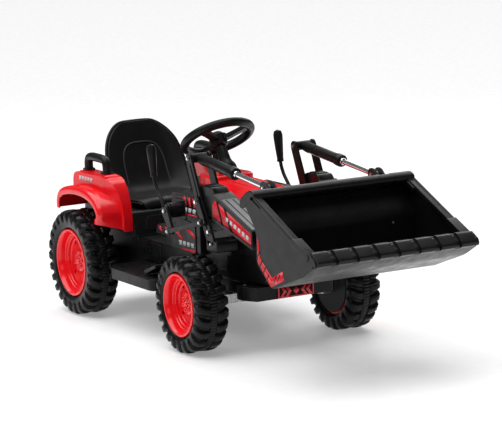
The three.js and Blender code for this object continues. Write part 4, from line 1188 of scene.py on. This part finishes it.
def strut(hand, side):
    """A capped barrel, a polished inner stage and a polished rod with an eye at its end."""
    start, end = Vector(MAST_TOP), Vector(STRUT_EYE)
    along = (end - start).normalized()
    length = (end - start).length
    origin = place(start.x, side * STRUT_Y, start.y)
    axis = Vector((along.x, 0, along.y))
    barrel = [
        (0.001, 4), (10, 4), (13, 10), (14.5, 18), (14.5, 180), (16.8, 183), (17, 200), (15.5, 204.5),
        (12, 205),
        (10.4, 204), (10.4, 190), (0.001, 190),
    ]
    parts = Parts(LOADER_BLACK, side)
    parts.append(smooth_by_angle(revolve("barrel", barrel, origin, axis, LOADER_BLACK, 40), 30))
    for distance in (30, 172):
        band = [(14, 0), (15.3, 1), (15.3, 5), (14, 6)]
        parts.append(revolve("band", band, origin + axis * distance * MM, axis, LOADER_BLACK, 40, 0.4))
    half_head, half_eye = Vector((0, 0.0215, 0)), Vector((0, 0.0055, 0))
    parts.append(rod("head", origin - half_head, origin + half_head, 12.5,
                     LOADER_BLACK, 32, 2))
    attach(merge(f"barrel_{hand}", parts), f"strut_barrel_{hand}", "loader_plastic", f"strut_barrel_{hand}")
    stage = [(7.9, 120), (9.8, 120), (9.8, 209), (9, 212), (7.9, 212)]
    attach(smooth_by_angle(revolve(f"stage_{hand}", stage, origin, axis, CHROME, 40), 30),
           f"strut_stage_{hand}", "chrome",
           f"strut_stage_{hand}")
    body = [(0.001, 130), (7.5, 130), (7.5, length - 26), (5.5, length - 23), (5.5, length - 6),
            (0.001, length - 6)]
    parts = Parts(CHROME, side)
    parts.append(smooth_by_angle(revolve("rod", body, origin, axis, CHROME, 32), 30))
    eye = place(STRUT_EYE[0], side * STRUT_Y, STRUT_EYE[1])
    parts.append(rod("eye", eye - half_eye, eye + half_eye, 9, STEEL, 28, 1))
    attach(merge(f"rod_{hand}", parts), f"strut_rod_{hand}", "chrome", f"strut_rod_{hand}")


def levers(hand, side):
    """A lever with a bent rod and a long grip on its bracket, and the link to the arm's crank."""
    pivot, y = LEVER_PIVOT, side * 197
    foot = (pivot[0] + CRANK[0], pivot[1] + CRANK[1])
    parts = Parts(BLACK, side)
    parts.pin("boss", pivot[0], pivot[1], 146, 184, 21, BLACK, 40, 3)
    parts.pin("boss_end", pivot[0], pivot[1], 183, 190, 18, BLACK, 40, 2)
    parts.pin("pin", pivot[0], pivot[1], 189, 202, 6, STEEL)
    parts.bolt("bracket_bolt", pivot[0], 199.4, pivot[1], 4, CHROME, 4)
    flange = rect(424, 486, 320, 376, 10)
    parts.across("flange", flange, 146, 150, 2)
    attach(merge(f"bracket_{hand}", parts), "chassis", "body_plastic", f"lever_bracket_{hand}")

    parts = Parts(LOADER_BLACK, side)
    parts.strap("plate", pivot, foot, 17, 10, 191.2, 199, 1.5)
    line = [place(453, y, 359), place(440, y, 376), place(417, y, 400), place(403, y, 424),
            place(399, y, 446)]
    parts.append(sweep("rod", line, 5, LOADER_BLACK, 6, 16))
    parts.pin("pin", foot[0], foot[1], 192, 211, 5, STEEL)
    parts.bolt("foot_bolt", foot[0], 209.2, foot[1], 3.6, CHROME, 4)
    attach(merge(f"lever_arm_{hand}", parts), f"lever_{hand}", "loader_plastic", f"lever_{hand}")

    base, top = place(400.4, y, 434), place(389, y, 523)
    reach = (top - base).length / MM
    profile = [(0.001, 0), (9, 0), (10, 3), (9, 8), (9.4, 14), (11, 34), (12.8, 62), (13, reach - 14),
               (10, reach - 4),
               (0.001, reach)]
    grip = smooth_by_angle(revolve(f"lever_handle_{hand}", profile, base, top - base, TRIM_BLACK, 32), 40)
    attach(grip, f"lever_{hand}", "trim_plastic", f"lever_grip_{hand}")

    end = CRANK_PIN
    parts = Parts(LOADER_BLACK, side)
    parts.strap("link", foot, end, 6.5, 6.5, 203.6, 209, 1.2)
    for x, z in (foot, end):
        ring = [(5.5, -2.7), (10.5, -2.7), (10.5, 2.9), (5.5, 2.9)]
        parts.append(revolve("eye", ring, place(x, side * 206.2, z), (0, side, 0), LOADER_BLACK, 28, 0.8))
    attach(merge(f"link_{hand}", parts), f"lift_link_{hand}", "loader_plastic", f"lift_link_{hand}")


# ------------------------------------------------------------------ carried-over CAD nodes
def finish_frame_nodes():
    """Every CAD node gets its slot's finish and slightly rounded edges."""
    slots = {part["node"]: part["material_slot"] for part in frame["record"]["subparts"]}
    for name, obj in frame["nodes"].items():
        obj.data.materials.clear()
        obj.data.materials.append(FINISHES[slots[name]])
        round_edges(obj, 1.2, 2, 40.0)


camera()
studio()
finish_frame_nodes()
wheels()
bucket()
cutting_edge()
seat()
tub_and_seat_base()
dash()
nose()
hood()
bumper()
pedal()
steering()
cross_tube()
for hand, side in SIDES.items():
    fender(hand, side)
    handle(hand, side)
    footrest(hand, side)
    gearbox(hand, side)
    mast(hand, side)
    arm(hand, side)
    crank(hand, side)
    strut(hand, side)
    levers(hand, side)
